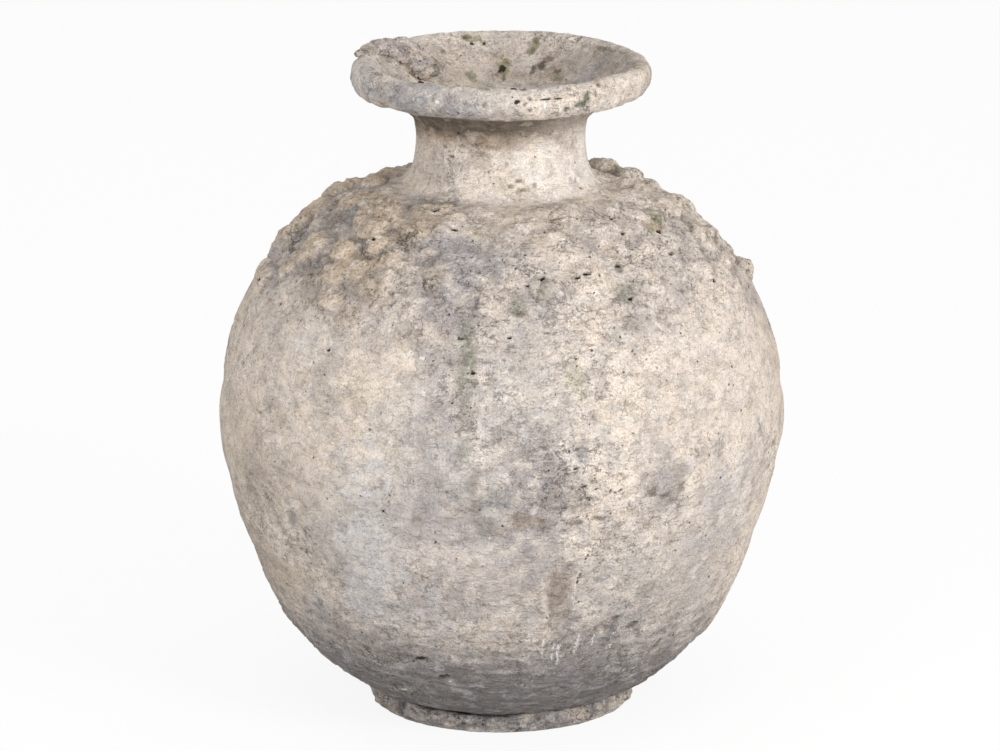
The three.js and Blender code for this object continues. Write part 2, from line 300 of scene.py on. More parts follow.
def clumps(points, spacing, seed, share=1.0, smallest=0.45, largest=0.85):
    """Rounded caps strewn about one spacing apart: their height, and how far it stands over the next."""
    scaled = points / spacing
    home = np.floor(scaled).astype(np.int64)
    best = np.zeros(points.shape[:-1])
    second = np.zeros_like(best)
    for shift in itertools.product((-1, 0, 1), repeat=3):
        cell = home + np.array(shift)
        places = three_shares(scramble(cell, seed))
        width, rise, chance = three_shares(scramble(cell, seed + 1))
        away = sum((scaled[..., i] - cell[..., i] - 0.15 - 0.7 * places[i]) ** 2 for i in range(3))
        radius = smallest + (largest - smallest) * width
        cap = (0.4 + 0.6 * rise) * np.sqrt(np.maximum(1 - away / radius**2, 0)) * (chance <= share)
        second = np.maximum(second, np.minimum(best, cap))
        best = np.maximum(best, cap)
    return best, best - second


def bell(across, along, width, length):
    """1 in the middle, falling off over a width and a length."""
    return np.exp(-((across / width) ** 2) - (along / length) ** 2)


def spread(grid, reach):
    """The grid averaged over a square of neighbours, going on round the jar."""
    rows = np.pad(grid, ((reach, reach), (0, 0)), mode="edge")
    count = grid.shape[0]
    tall = sum(rows[shift : shift + count] for shift in range(2 * reach + 1)) / (2 * reach + 1)
    return sum(np.roll(tall, shift, axis=1) for shift in range(-reach, reach + 1)) / (2 * reach + 1)


# Slow forms of the outline: bearing, height, degrees and millimetres that they spread over, and rise
outline_forms = [
    (-90, 222, 40, 12, 1.4), (-90, 142, 40, 24, -2.2), (-90, 88, 40, 14, 1.5), (-90, 392, 32, 30, -2.4),
    (90, 288, 40, 55, 2.0), (90, 158, 40, 12, -1.9), (90, 60, 40, 18, -2.0), (90, 370, 30, 9, 2.5),
]

# Lumps of the crust that show: bearing, share of the crust's length from its upper edge, and shares of the
# width and rise of the largest strewn lump
shown_lumps = [
    (122, 0.07, 0.8, 1.1), (104, 0.12, 0.7, 1.1), (88, 0.17, 0.75, 0.9), (80, 0.31, 0.8, 0.9),
    (76, 0.56, 0.75, 0.75), (89, 0.84, 0.65, 0.9), (36, 0.28, 0.65, 0.55), (58, 0.25, 0.7, 0.6),
    (12, 0.62, 0.75, 0.5), (-19, 0.14, 0.55, 0.75), (-27, 0.07, 0.65, 0.9), (-33, 0.27, 0.55, 0.65),
    (-41, 0.42, 0.65, 0.8), (-47, 0.32, 0.8, 1), (-51, 0.5, 0.65, 0.8), (-57, 0.24, 0.6, 0.7),
    (-86, 0.52, 0.9, 0.9), (-87, 0.82, 0.7, 0.65), (-95, 0.08, 0.65, 0.75), (-104, 0.31, 0.9, 1),
]

# Places where the crust is worn smooth: bearing, share of the crust's length from its upper edge, half its
# width and height as shares of that length, and how much of the strewn lumps' rise is gone
worn_places = [
    (-11, 0.3, 0.14, 0.34, 0.85), (2, 0, 0.4, 0.12, 0.7), (20, 0.55, 0.32, 0.4, 0.65),
    (50, 0.5, 0.3, 0.5, 0.5), (48, 0.9, 0.5, 0.35, 0.7), (-40, 0.95, 0.6, 0.25, 0.6),
]

# Holes between the lumps: bearing, height, radius and depth
holes = [
    (-28, 447, 3.4, 6), (-17, 440, 2.4, 5), (-42, 427, 2.0, 5), (-44, 434, 1.6, 5), (-70, 402, 2.8, 5),
    (-77, 377, 2.4, 5), (-81, 402, 2.2, 5), (-62, 372, 1.6, 4), (11, 411, 2.4, 5), (7, 408, 1.2, 4),
    (24, 412, 2.6, 6), (21, 411, 1.2, 5), (27, 410, 1.2, 4), (34, 415, 2.0, 5), (47, 442, 2.2, 5),
    (71, 437, 2.4, 5), (-61, 391, 1.8, 4), (-57, 398, 1.2, 3), (33, 392, 2.0, 4), (30, 449, 2.2, 4),
    (38, 446, 1.6, 4), (60, 428, 2.8, 5), (54, 413, 2.4, 5), (44, 433, 2.0, 4), (66, 404, 2.2, 5),
    (64, 388, 2.0, 4), (76, 384, 1.6, 4), (2, 372, 1.8, 4), (-40, 351, 1.6, 3), (-6, 346, 1.6, 4),
    (-13, 205, 1.4, 3), (-24, 228, 1.3, 3), (27, 128, 1.8, 3), (33, 119, 1.4, 3), (57, 458, 2.0, 4),
]

# Cracks: bearing and height of each end, and width
cracks = [
    (18, 411, 27, 409, 1.0), (50, 431, 57, 426, 1.2), (60, 418, 67, 416, 1.0), (43, 443, 50, 441, 1.2),
    (-52, 419, -46, 416, 1.0), (-74, 431, -66, 424, 1.0), (-40, 440, -35, 432, 1.0),
    (-47, 437, -41, 428, 1.0), (27, 372, 31, 352, 1.4), (31, 352, 30, 338, 2.0), (17, 352, 15, 330, 1.6),
    (-9, 372, -7, 350, 1.8), (-7, 350, -10, 322, 1.4), (10, 268, 17, 264, 1.2), (15, 258, 18, 240, 1.2),
    (17, 246, 26, 243, 1.2), (12, 226, 18, 221, 1.3), (30, 247, 34, 236, 1.3), (17, 196, 18, 140, 1.2),
    (19, 208, 22, 202, 1.2), (13, 122, 12, 108, 1.2),
]


def outline_relief(ground):
    """The slow forms that the jar's outline has on each side."""
    total = np.zeros_like(ground.radius)
    for bearing, height, spread_round, spread_up, rise in outline_forms:
        away = ground.distance - skin.at_height(height)
        total += rise * bell(ground.turn_from(bearing), away, spread_round, spread_up)
    return total


# Scabby and calm places of the wall: bearing, height, half width and half height in millimetres, and share
scabby_places = [
    (14, 255, 45, 60, 1.0), (-6, 335, 40, 60, 0.8), (20, 345, 50, 40, 0.6), (10, 120, 200, 45, 0.5),
    (24, 200, 50, 40, 0.9),
]
calm_places = [
    (-45, 290, 110, 80, 0.7), (52, 300, 70, 60, 0.7), (48, 150, 110, 60, 0.7),
]


def strongest_bell(ground, places):
    """Share of the strongest of some soft places."""
    total = np.zeros_like(ground.radius)
    for bearing, height, width, length, share in places:
        across, along = ground.offsets(bearing, skin.at_height(height))
        total = np.maximum(total, share * bell(across, along, width, length))
    return total


def rim_share(ground):
    """1 on the mouth's rim, 0 below it."""
    return step(ground.distance, neck_top + 20, neck_top + 45)


def roughness_share(ground):
    """How rough the wall is, from 0 to 1: scabby in places on the front and all round the lower wall."""
    rough = step(rough_noise(ground.points, 70, 11, 2), 0.1, 0.6) * 0.7
    rough = np.maximum(rough, strongest_bell(ground, scabby_places))
    return np.clip(rough * (1 - strongest_bell(ground, calm_places)), 0, 1)


def hole_relief(ground):
    """Depth of the placed holes and cracks, and how deep in shade each place is."""
    depth = np.zeros_like(ground.radius)
    shade = np.zeros_like(ground.radius)
    jitter = noise(ground.points, 4, 41)
    torn = rough_noise(ground.points, 5, 45, 2)
    broken = noise(ground.points, 11, 42)
    wander = [7 * noise(ground.points, 15, seed) + 2.5 * noise(ground.points, 6, seed) for seed in (43, 44)]
    for bearing, height, radius, hole_depth in holes:
        across, along = ground.offsets(bearing, skin.at_height(height))
        near = step(np.hypot(across * 0.8, along * 1.35) + torn * radius * 0.6, radius * 1.15, radius * 0.55)
        depth = np.maximum(depth, hole_depth * near)
        shade = np.maximum(shade, near)
    for start_bearing, start_height, end_bearing, end_height, width in cracks:
        across, along = ground.offsets(start_bearing, skin.at_height(start_height))
        turn = np.radians(end_bearing - start_bearing) * ground.radius
        climb = skin.at_height(end_height) - skin.at_height(start_height)
        share = np.clip((across * turn + along * climb) / (turn**2 + climb**2), 0, 1)
        away = np.hypot(across - share * turn + wander[0], along - share * climb + wander[1])
        near = step(away, width * (1.1 + 0.6 * jitter), width * 0.3) * step(broken, -0.35, 0.1)
        depth = np.maximum(depth, 1.4 * near)
        shade = np.maximum(shade, 0.8 * near)
    return depth, shade


def wrinkles(points):
    """1 along ragged creases that wander over the clay and break off."""
    field = rough_noise(points, (22, 22, 11), 15, 4, 0.6)
    return step(np.abs(field), 0.1, 0.02) * step(noise(points, 24, 16), -0.1, 0.25)


def wall_relief(ground):
    """Rise of the skin over its plain line, in millimetres."""
    points = ground.points
    on_rim = rim_share(ground)
    on_neck = step(ground.distance, neck_foot - 10, neck_foot + 15) * (1 - on_rim)
    low = step(ground.height, 150, 90) * (1 - on_rim) * (1 - on_neck)
    rough = roughness_share(ground) * (1 - 0.6 * on_neck)
    total = outline_relief(ground)
    total += (1 - 0.5 * on_neck) * (0.9 * noise(points, 95, 1) + 0.55 * noise(points, 42, 2))
    total += (1 - 0.5 * on_neck) * (0.4 * noise(points, 17, 3) + 0.2 * rough_noise(points, 8, 4, 2))
    plates = rough_noise(points, (20, 20, 14), 5, 3)
    scabs = 0.6 * step(plates, -0.05, 0.05) + 0.5 * step(plates, 0.32, 0.4) + 0.3 * noise(points, 6.5, 6)
    total += rough * scabs
    pitted = rough_noise(points, (12, 12, 9), 12, 3)
    total -= (0.35 + 0.65 * rough) * 0.9 * step(pitted, 0.42, 0.75)
    total -= (0.25 + 0.35 * rough + 0.3 * low) * wrinkles(points)
    layers = rough_noise(points, (34, 34, 7), 7, 3)
    total += low * (0.85 * layers + 0.6 * step(layers, 0.1, 0.2))
    total += on_rim * (1.1 * noise(points, 34, 8) + 0.8 * noise(points, 14, 9) + 0.45 * noise(points, 6, 10))
    return total


def crust_cover(ground):
    """1 where the crust covers the shoulder, 0 where it doesn't."""
    below = neck_foot - ground.distance
    turn = np.radians(ground.bearing)
    edge = crust_reach - 26 - 7 * np.sin(3 * turn + 1) - 6 * np.sin(7 * turn + 2)
    ragged = 16 * noise(ground.points, 24, 21) + 7 * noise(ground.points, 9, 22)
    shown = lump_height(ground, placed_lumps(), [0, 0])
    return np.maximum(step(edge - below + ragged, -2, 10), step(shown, 0, 2.5))


def strewn_lumps():
    """Bearing, distance below the neck, width and rise of each lump that lies at random, as in the solid."""
    state = 7
    shares = []
    for _ in range(4 * lump_count):
        state = (state * 1664525 + 1013904223) % 4294967296
        shares.append(state / 4294967296)
    lumps = []
    for turn, along, width, rise in np.array(shares).reshape(-1, 4):
        width = least_lump_width + (most_lump_width - least_lump_width) * width
        rise = least_lump_rise + (most_lump_rise - least_lump_rise) * rise
        lumps.append((360 * turn - 180, crust_start + crust_length * along, width, rise))
    return lumps


def placed_lumps():
    """The same for the lumps that show."""
    return [
        (bearing, crust_start + crust_length * along, most_lump_width * width, most_lump_rise * rise)
        for bearing, along, width, rise in shown_lumps
    ]


def lump_height(ground, lumps, warp):
    """Height of the highest of some lumps at each place."""
    total = np.zeros_like(ground.radius)
    for bearing, below, width, rise in lumps:
        across, along = ground.offsets(bearing, neck_foot - below)
        away = ((across + warp[0]) ** 2 + (along + warp[1]) ** 2) / (width / 2) ** 2
        total = np.maximum(total, rise * np.sqrt(np.maximum(1 - away, 0)))
    return total


def wear(ground):
    """Share of their rise that the strewn lumps have lost at each place."""
    total = np.zeros_like(ground.radius)
    for bearing, along, half_width, half_height, worn in worn_places:
        across, climb = ground.offsets(bearing, neck_foot - crust_start - crust_length * along)
        here = bell(across, climb, crust_length * half_width, crust_length * half_height)
        total = np.maximum(total, worn * here)
    return total


def crust_relief(ground):
    """Rise of the crust over the wall, how far each place lies in a crevice, and how far up a lump it is."""
    below = neck_foot - ground.distance
    points = ground.points
    warp = [3.0 * noise(points, 16, seed) + 1.0 * noise(points, 6, seed + 40) for seed in (23, 24, 25)]
    warped = points + np.stack(warp, axis=-1)
    kept = 1 - wear(ground)
    lumps = spread(lump_height(ground, strewn_lumps(), warp), 3) * kept
    taller = 0.95 + 0.2 * step(np.abs(ground.bearing), 30, 70) + 0.2 * noise(points, 12, 34)
    placed = lump_height(ground, placed_lumps(), [0.6 * sway for sway in warp]) * taller
    lumps = np.maximum(lumps, placed)
    in_patches = step(noise(points, 55, 27), -0.25, 0.3) * kept
    middle, parting = clumps(warped, 17, 28, 0.5)
    ledges = rough_noise(warped, (17, 17, 12), 36, 3)
    ragged = rough_noise(points, (9, 9, 6), 37, 3)
    total = lumps + 1.5 * spread(middle, 2) * in_patches
    terraces = 0.8 * step(ledges, -0.12, 0) + 1.0 * step(ledges, 0.22, 0.29) + 0.8 * step(ledges, 0.5, 0.56)
    total += (0.25 + 0.75 * kept) * (terraces + 0.45 * ragged) + 0.25 * rough_noise(points, 5, 39, 2)
    total -= 0.7 * in_patches * step(parting, 0.1, 0)
    fade = step(below, crust_reach - 4, crust_reach - 34) * 0.8 + 0.2
    near_neck = step(below, -14, 16 + 34 * np.exp(-((ground.bearing / 45) ** 2)))
    crevice = step(parting, 0.05, 0) * in_patches + 0.8 * step(np.abs(ledges - 0.19), 0.03, 0)
    parted = step(noise(points, 20, 29) + 0.5 * noise(points, 8, 32), 0.1, 0.5)
    crevice = np.clip(crevice * parted * (0.2 + 0.8 * kept), 0, 1) * near_neck
    return total * fade * near_neck, crevice, step(lumps, 1.5, 5) * fade


def crusty_share(ground):
    """1 over the crust, fading out below it and on the neck."""
    below = neck_foot - ground.distance
    return step(below, crust_reach + 20, crust_reach - 60) * step(below, 0, 44)


# Colours of the clay and of what grows on it, as they are seen in even light
tones = {
    "cream": (223, 210, 196),
    "pale": (234, 223, 210),
    "blush": (204, 193, 186),
    "sand": (196, 181, 163),
    "tan": (196, 175, 150),
    "stone": (188, 180, 174),
    "ash": (206, 202, 200),
    "mauve": (160, 153, 151),
    "bluish": (160, 158, 160),
    "slate": (114, 112, 113),
    "taupe": (152, 141, 132),
    "umber": (138, 117, 92),
    "moss": (152, 147, 98),
    "pine": (98, 104, 88),
    "bark": (96, 86, 76),
    # soot is also the colour of the painted shade in holes, cracks and crevices
    "soot_and_shade": (52, 46, 40),
    "lime": (240, 237, 233),
}


def linear(tone):
    """A tone as the linear colour that a shader takes."""
    share = np.array(tones[tone]) / 255
    return np.where(share <= 0.04045, share / 12.92, ((share + 0.055) / 1.055) ** 2.4)


# Patches of the front: bearing, height, half width and half height in millimetres, tone and strength
front_patches = [
    (-8, 240, 110, 120, "ash", 0.5), (48, 320, 75, 95, "cream", 0.6), (42, 305, 60, 60, "stone", 0.25),
    (72, 330, 50, 110, "cream", 0.5), (84, 280, 40, 150, "sand", 0.4), (62, 300, 34, 120, "blush", 0.3),
    (-33, 300, 50, 70, "cream", 0.8), (-58, 330, 40, 50, "cream", 0.4), (-66, 240, 50, 60, "sand", 0.4),
    (-84, 300, 30, 130, "sand", 0.4), (-11, 330, 30, 130, "mauve", 0.55), (4, 345, 44, 60, "stone", 0.55),
    (4, 218, 44, 60, "mauve", 0.5), (2, 165, 34, 46, "mauve", 0.4), (-11, 418, 30, 38, "bluish", 0.9),
    (-12, 385, 26, 26, "mauve", 0.6), (-12, 405, 24, 46, "mauve", 0.45), (-20, 250, 30, 60, "stone", 0.5),
    (-7, 320, 8, 90, "pine", 0.35), (-8, 350, 8, 28, "pine", 0.35), (-45, 400, 50, 34, "tan", 0.5),
    (-44, 407, 20, 14, "tan", 0.7), (-52, 415, 14, 10, "umber", 0.4), (-38, 400, 16, 10, "umber", 0.3),
    (-74, 412, 34, 40, "mauve", 0.8), (-57, 397, 18, 12, "tan", 0.6), (-66, 438, 44, 18, "mauve", 0.9),
    (-60, 418, 16, 20, "mauve", 0.7), (-36, 452, 26, 14, "mauve", 0.9), (-69, 432, 14, 9, "sand", 0.8),
    (-43, 431, 14, 10, "tan", 0.8), (-50, 422, 9, 7, "tan", 0.9), (-37, 436, 10, 9, "tan", 0.8),
    (-22, 372, 30, 14, "sand", 0.4), (10, 445, 50, 20, "sand", 0.5), (20, 425, 50, 22, "blush", 0.5),
    (35, 425, 8, 5, "tan", 0.9), (58, 446, 26, 10, "stone", 0.6), (45, 430, 30, 14, "blush", 0.6),
    (60, 431, 12, 8, "tan", 0.9), (66, 415, 34, 24, "stone", 0.5), (33, 394, 9, 12, "pine", 0.8),
    (34, 414, 5, 6, "pine", 0.9), (36, 380, 30, 22, "mauve", 0.6), (11, 404, 8, 11, "pine", 0.7),
    (8, 396, 22, 22, "mauve", 0.5), (4, 390, 7, 10, "pine", 0.7), (27, 368, 4, 14, "pine", 0.5),
    (16, 340, 6, 16, "moss", 0.3), (86, 355, 40, 30, "mauve", 0.5), (112, 452, 40, 12, "umber", 0.5),
    (92, 438, 24, 12, "taupe", 0.6), (84, 412, 20, 12, "taupe", 0.5), (10, 270, 44, 60, "stone", 0.5),
    (8, 255, 34, 50, "mauve", 0.85), (-47, 352, 14, 14, "ash", 0.3), (-38, 330, 16, 50, "mauve", 0.4),
    (-30, 322, 9, 40, "sand", 0.4), (60, 70, 60, 20, "sand", 0.6), (-10, 225, 44, 36, "mauve", 0.5),
    (-3, 232, 12, 34, "pine", 0.35), (0, 246, 12, 8, "bluish", 0.5), (6, 228, 16, 9, "umber", 0.45),
    (11, 245, 16, 18, "slate", 0.25), (17, 250, 14, 34, "slate", 0.25), (13, 158, 14, 38, "taupe", 1),
    (6, 165, 10, 40, "mauve", 0.6), (-10, 165, 44, 44, "blush", 0.8), (-14, 145, 50, 20, "mauve", 0.6),
    (-30, 165, 40, 20, "mauve", 0.4), (-56, 232, 40, 34, "taupe", 0.4), (-66, 145, 60, 50, "sand", 0.7),
    (-72, 150, 40, 70, "taupe", 0.3), (-38, 214, 32, 26, "mauve", 0.3), (-29, 200, 26, 80, "ash", 0.8),
    (-22, 130, 50, 30, "ash", 0.4), (34, 240, 22, 24, "mauve", 0.7), (46, 236, 24, 34, "stone", 0.5),
    (54, 210, 34, 44, "ash", 0.5), (24, 170, 30, 56, "stone", 0.8), (44, 155, 60, 60, "stone", 0.85),
    (30, 130, 30, 30, "mauve", 0.4), (72, 140, 56, 60, "cream", 0.8), (-55, 90, 50, 26, "stone", 0.4),
    (80, 210, 40, 60, "cream", 0.4), (62, 105, 30, 16, "mauve", 0.6), (21, 94, 46, 34, "slate", 0.9),
    (-4, 75, 80, 24, "slate", 0.55), (-37, 68, 34, 18, "sand", 0.4), (45, 62, 40, 20, "stone", 0.3),
    (-40, 100, 60, 16, "mauve", 0.5),
]

# Patches of the neck: bearing, height, half width and half height in millimetres, tone and strength
neck_patches = [
    # The umber patch at bearing -10 under the lip deepens the band there, partly dirt and partly painted
    # shade.
    (-32, 463, 26, 9, "mauve", 0.5), (-10, 497, 22, 12, "umber", 0.35), (10, 464, 18, 8, "sand", 0.4),
    (-40, 480, 20, 12, "blush", 0.5),
]

# Spots and streaks of the front: bearing, height, half width and half height in millimetres, tone and
# strength
front_spots = [
    (27, 128, 4, 4, "bark", 0.7), (32, 117, 5, 3.5, "bark", 0.6), (34, 112, 4, 3, "bark", 0.5),
    (31, 241, 5, 3.5, "bark", 0.7), (34, 236, 6, 2.5, "bark", 0.7), (38, 240, 4, 5, "bark", 0.5),
    (36, 230, 6, 3, "bark", 0.5), (20, 224, 5, 3, "bark", 0.7), (15, 222, 6, 3, "bark", 0.7),
    (24, 216, 4, 4, "bark", 0.5), (12, 236, 10, 2, "bark", 0.5), (-20, 90, 6, 2.5, "soot_and_shade", 0.6),
    (-15, 73, 5, 2.5, "soot_and_shade", 0.5), (-48, 205, 6, 7, "slate", 0.5),
]

# White flecks and drips of the front: bearing, height, half width and half height in millimetres, and
# strength
front_lime = [
    (-20, 358, 3.5, 3, 0.6), (-17, 355, 3, 2.5, 0.6), (-40, 357, 2.6, 2.4, 0.6),
    (-16, 328, 2.4, 2.4, 0.6), (-19, 321, 2.2, 2.2, 0.6), (-31, 47, 4, 1.6, 0.8),
    (-30, 268, 2.4, 1.8, 0.5), (-14, 66, 2, 2, 0.6), (17, 100, 26, 26, 0.3), (10, 104, 2.4, 12, 0.45),
    (12, 98, 2.4, 14, 0.42), (14, 96, 2.4, 18, 0.46), (18, 106, 2.4, 16, 0.46), (22, 108, 2.4, 14, 0.42),
    (27, 104, 2.4, 12, 0.4), (-49, 350, 12, 6, 0.42), (-44, 340, 8, 6, 0.4), (16, 165, 3, 26, 0.36),
    (24, 170, 26, 50, 0.24), (30, 110, 16, 20, 0.3), (-2, 205, 14, 16, 0.3), (0, 250, 14, 8, 0.3),
    (-22, 62, 20, 10, 0.22), (-48, 345, 16, 8, 0.3), (8, 395, 22, 10, 0.28),
]

# Moss of the front: bearing, height, half width and half height in millimetres, and strength
front_moss = [
    (-27, 451, 9, 5, 0.9), (-33, 447, 8, 4, 0.6), (-18, 447, 7, 4, 0.4), (66, 434, 16, 8, 0.7),
    (56, 430, 9, 6, 0.6), (60, 446, 10, 5, 0.5), (44, 440, 9, 5, 0.5), (36, 427, 9, 4, 0.5),
    (82, 425, 14, 8, 0.5), (92, 444, 16, 7, 0.6), (108, 450, 18, 7, 0.6), (-80, 414, 10, 5, 0.6),
    (-72, 396, 7, 7, 0.5), (8, 458, 12, 7, 0.5), (16, 462, 8, 5, 0.45), (14, 340, 5, 12, 0.6),
    (17, 328, 4, 10, 0.6), (22, 300, 8, 20, 0.35), (-4, 240, 8, 22, 0.35), (45, 205, 14, 18, 0.3),
    (-6, 346, 5, 16, 0.5),
]

# Patches of the mouth: bearing, distance past the neck's top, half width and half length, tone and strength
rim_patches = [
    (-28, 66, 62, 18, "bluish", 0.8), (-14, 58, 34, 10, "mauve", 0.8), (-52, 74, 30, 16, "bluish", 0.5),
    (-75, 70, 34, 22, "ash", 0.6), (-84, 62, 20, 10, "bluish", 0.5), (28, 66, 40, 20, "cream", 0.75),
    (62, 68, 44, 24, "cream", 0.6), (80, 58, 20, 10, "taupe", 0.4), (88, 80, 40, 18, "sand", 0.4),
    (0, 90, 80, 9, "stone", 0.5), (125, 122, 16, 26, "bluish", 0.85), (112, 108, 34, 16, "taupe", 0.5),
    (140, 126, 17, 14, "taupe", 0.9), (150, 128, 12, 14, "umber", 0.6), (178, 118, 90, 26, "blush", 0.5),
    (-130, 120, 40, 24, "sand", 0.4), (-100, 112, 40, 20, "stone", 0.5), (70, 100, 40, 14, "taupe", 0.6),
    (178, 128, 12, 14, "sand", 0.6),
]

# Spots, white flecks and moss of the neck and the mouth, given as on the front
neck_spots = [
    (12, 470, 4, 2, "pine", 0.7), (6, 466, 3, 2, "pine", 0.7), (16, 463, 4, 2, "pine", 0.7),
    (11, 461, 3, 3, "bark", 0.6), (22, 466, 2, 2, "bark", 0.6), (-34, 488, 2.0, 1.6, "bark", 0.7),
    (-40, 496, 2.4, 1.6, "bark", 0.6), (-8, 478, 1.6, 1.6, "bark", 0.6), (4, 484, 1.6, 2, "bark", 0.5),
    (-18, 500, 4, 2, "bark", 0.6), (-6, 498, 5, 2, "bark", 0.5), (-12, 493, 4, 2, "bark", 0.5),
    (35, 492, 2, 1.6, "bark", 0.4),
]
rim_spots = [
    (5, 85, 2.8, 1.8, "soot_and_shade", 1), (9, 85, 3.2, 2.2, "bark", 0.8), (6, 72, 3.0, 1.6, "soot_and_shade", 0.8),
    (9, 69, 1.8, 1.6, "bark", 0.8), (11, 74, 2.2, 1.6, "bark", 0.8), (11, 64, 2.4, 2.0, "pine", 0.7),
    (-6, 70, 2.4, 2.6, "pine", 0.7), (-7, 84, 5, 3, "pine", 0.5), (-3, 88, 4, 2, "bark", 0.4),
    (18, 93, 7, 2.4, "pine", 0.6), (34, 92, 5, 2, "pine", 0.7), (41, 80, 2.8, 2.4, "pine", 0.9),
    (17, 73, 6, 0.9, "soot_and_shade", 0.7), (22, 72.5, 5, 0.8, "soot_and_shade", 0.7), (27, 80, 2.6, 2.0, "umber", 0.6),
    (34, 72, 4, 5, "pine", 0.9), (31, 66, 7, 3.4, "pine", 0.8), (26, 63, 4, 2.4, "pine", 0.6),
    (-124, 131, 8, 3, "soot_and_shade", 0.8), (-118, 136, 5, 2.4, "soot_and_shade", 0.8), (179, 131, 3.4, 3.6, "soot_and_shade", 0.9),
    (177, 124, 2.2, 3.0, "bark", 0.8), (178, 142, 1.6, 4.0, "bark", 0.7),
    (163, 99, 3.0, 3.0, "bark", 0.9), (164, 108, 2.0, 6.0, "umber", 0.7),
    (156, 124, 4.2, 6.5, "bark", 0.95), (160, 132, 2.2, 7.0, "bark", 0.8),
    (153, 117, 4.0, 3.0, "bark", 0.7), (145, 129, 4.2, 3.6, "bark", 0.8),
    (141, 136, 6.0, 3.0, "umber", 0.6), (127, 97, 9, 2.0, "bark", 0.6), (120, 96, 8, 1.8, "pine", 0.6),
    (112, 94, 6, 1.8, "bark", 0.4), (-164, 96, 4, 2.0, "bark", 0.9), (-166, 103, 1.6, 1.6, "soot_and_shade", 0.9),
    (-172, 103, 1.4, 1.4, "soot_and_shade", 0.8), (-150, 108, 2.0, 2.0, "bark", 0.7),
    (-158, 138, 2.0, 6.0, "umber", 0.6),
]
rim_lime = [
    (-34, 70, 4.0, 2.4, 0.45), (-24, 69, 4.4, 2.8, 0.5), (-22, 62, 12, 6, 0.3), (-30, 80, 30, 3, 0.32),
    (-46, 76, 12, 4, 0.3), (25, 80, 4.0, 3, 0.42), (20, 67, 12, 5, 0.38), (42, 68, 12, 8, 0.28),
    (126, 121, 14, 12, 0.33), (-56, 66, 14, 6, 0.28), (66, 62, 14, 6, 0.3),
]
rim_moss = [
    (178, 128, 6, 13, 1), (-161, 140, 4, 8, 0.8), (-124, 124, 8, 8, 0.8), (126, 98, 10, 4, 0.6),
    (163, 106, 6, 11, 0.8), (-166, 97, 13, 4, 0.9), (-150, 99, 10, 3, 0.5), (-72, 92, 10, 5, 0.6),
    (62, 95, 12, 5, 0.7), (76, 90, 9, 5, 0.7), (24, 90, 14, 3, 0.5), (104, 92, 18, 5, 0.5),
    (-6, 84, 7, 4, 0.5), (146, 134, 12, 6, 0.5),
]


def back_patches():
    """Patches like those of the front, strewn over the side that the photograph doesn't show."""
    random = np.random.default_rng(12)
    names = ["cream", "blush", "mauve", "stone", "taupe", "sand", "ash", "pale"]
    patches = []
    for _ in range(46):
        bearing = 95 + 170 * random.random()
        height = 45 + 390 * random.random()
        width, length = 18 + 45 * random.random(2)
        patches.append((bearing, height, width, length * 1.5, names[random.integers(len(names))], 0.6))
    return patches


def patch_share(ground, bearing, distance, width, length, warp):
    """How strongly a ragged patch shows: 1 in its middle, 0 outside it."""
    across, along = ground.offsets(bearing, distance)
    share = min(1, width / 30)
    across = np.abs((across + warp[0] * share) / width)
    along = np.abs((along + warp[1] * share) / length)
    return step((across**3 + along**3) ** (1 / 3) + warp[2], 1.3, 0.5)


def strongest(ground, patches, place, warp, here):
    """Strength of the strongest of some patches, where here is 1. Place turns an entry's second number into
    a distance."""
    total = np.zeros_like(ground.radius)
    for bearing, along, width, length, strength in patches:
        share = patch_share(ground, bearing, place(along), width, length, warp)
        total = np.maximum(total, share * strength * here)
    return total


def without_tone(spots, wanted):
    """The spots of one tone, as entries without it."""
    return [(*sizes, strength) for *sizes, tone, strength in spots if tone == wanted]


class Coat:
    """The colour of some points, with tones laid over it one after another."""

    def __init__(self, shape, tone):
        self.colour = np.broadcast_to(linear(tone), shape).copy()

    def lay(self, tone, share):
        self.colour += (linear(tone) - self.colour) * share[..., None]

    def lay_patches(self, ground, patches, place, warp, here):
        """Lays patches where here is 1. Place turns an entry's second number into a distance."""
        for bearing, along, width, length, tone, strength in patches:
            share = patch_share(ground, bearing, place(along), width, length, warp)
            self.lay(tone, share * strength * here)


class Zones:
    """How far each place belongs to the mouth, the neck, the body and the body's lowest part."""

    def __init__(self, ground):
        reach = ground.distance + 8 * noise(ground.points, 22, 49)
        self.rim = rim_share(ground)
        self.neck = step(reach, neck_foot - 22, neck_foot + 12) * (1 - self.rim)
        self.body = (1 - self.rim) * (1 - self.neck)
        self.low = step(ground.height, 150, 78)


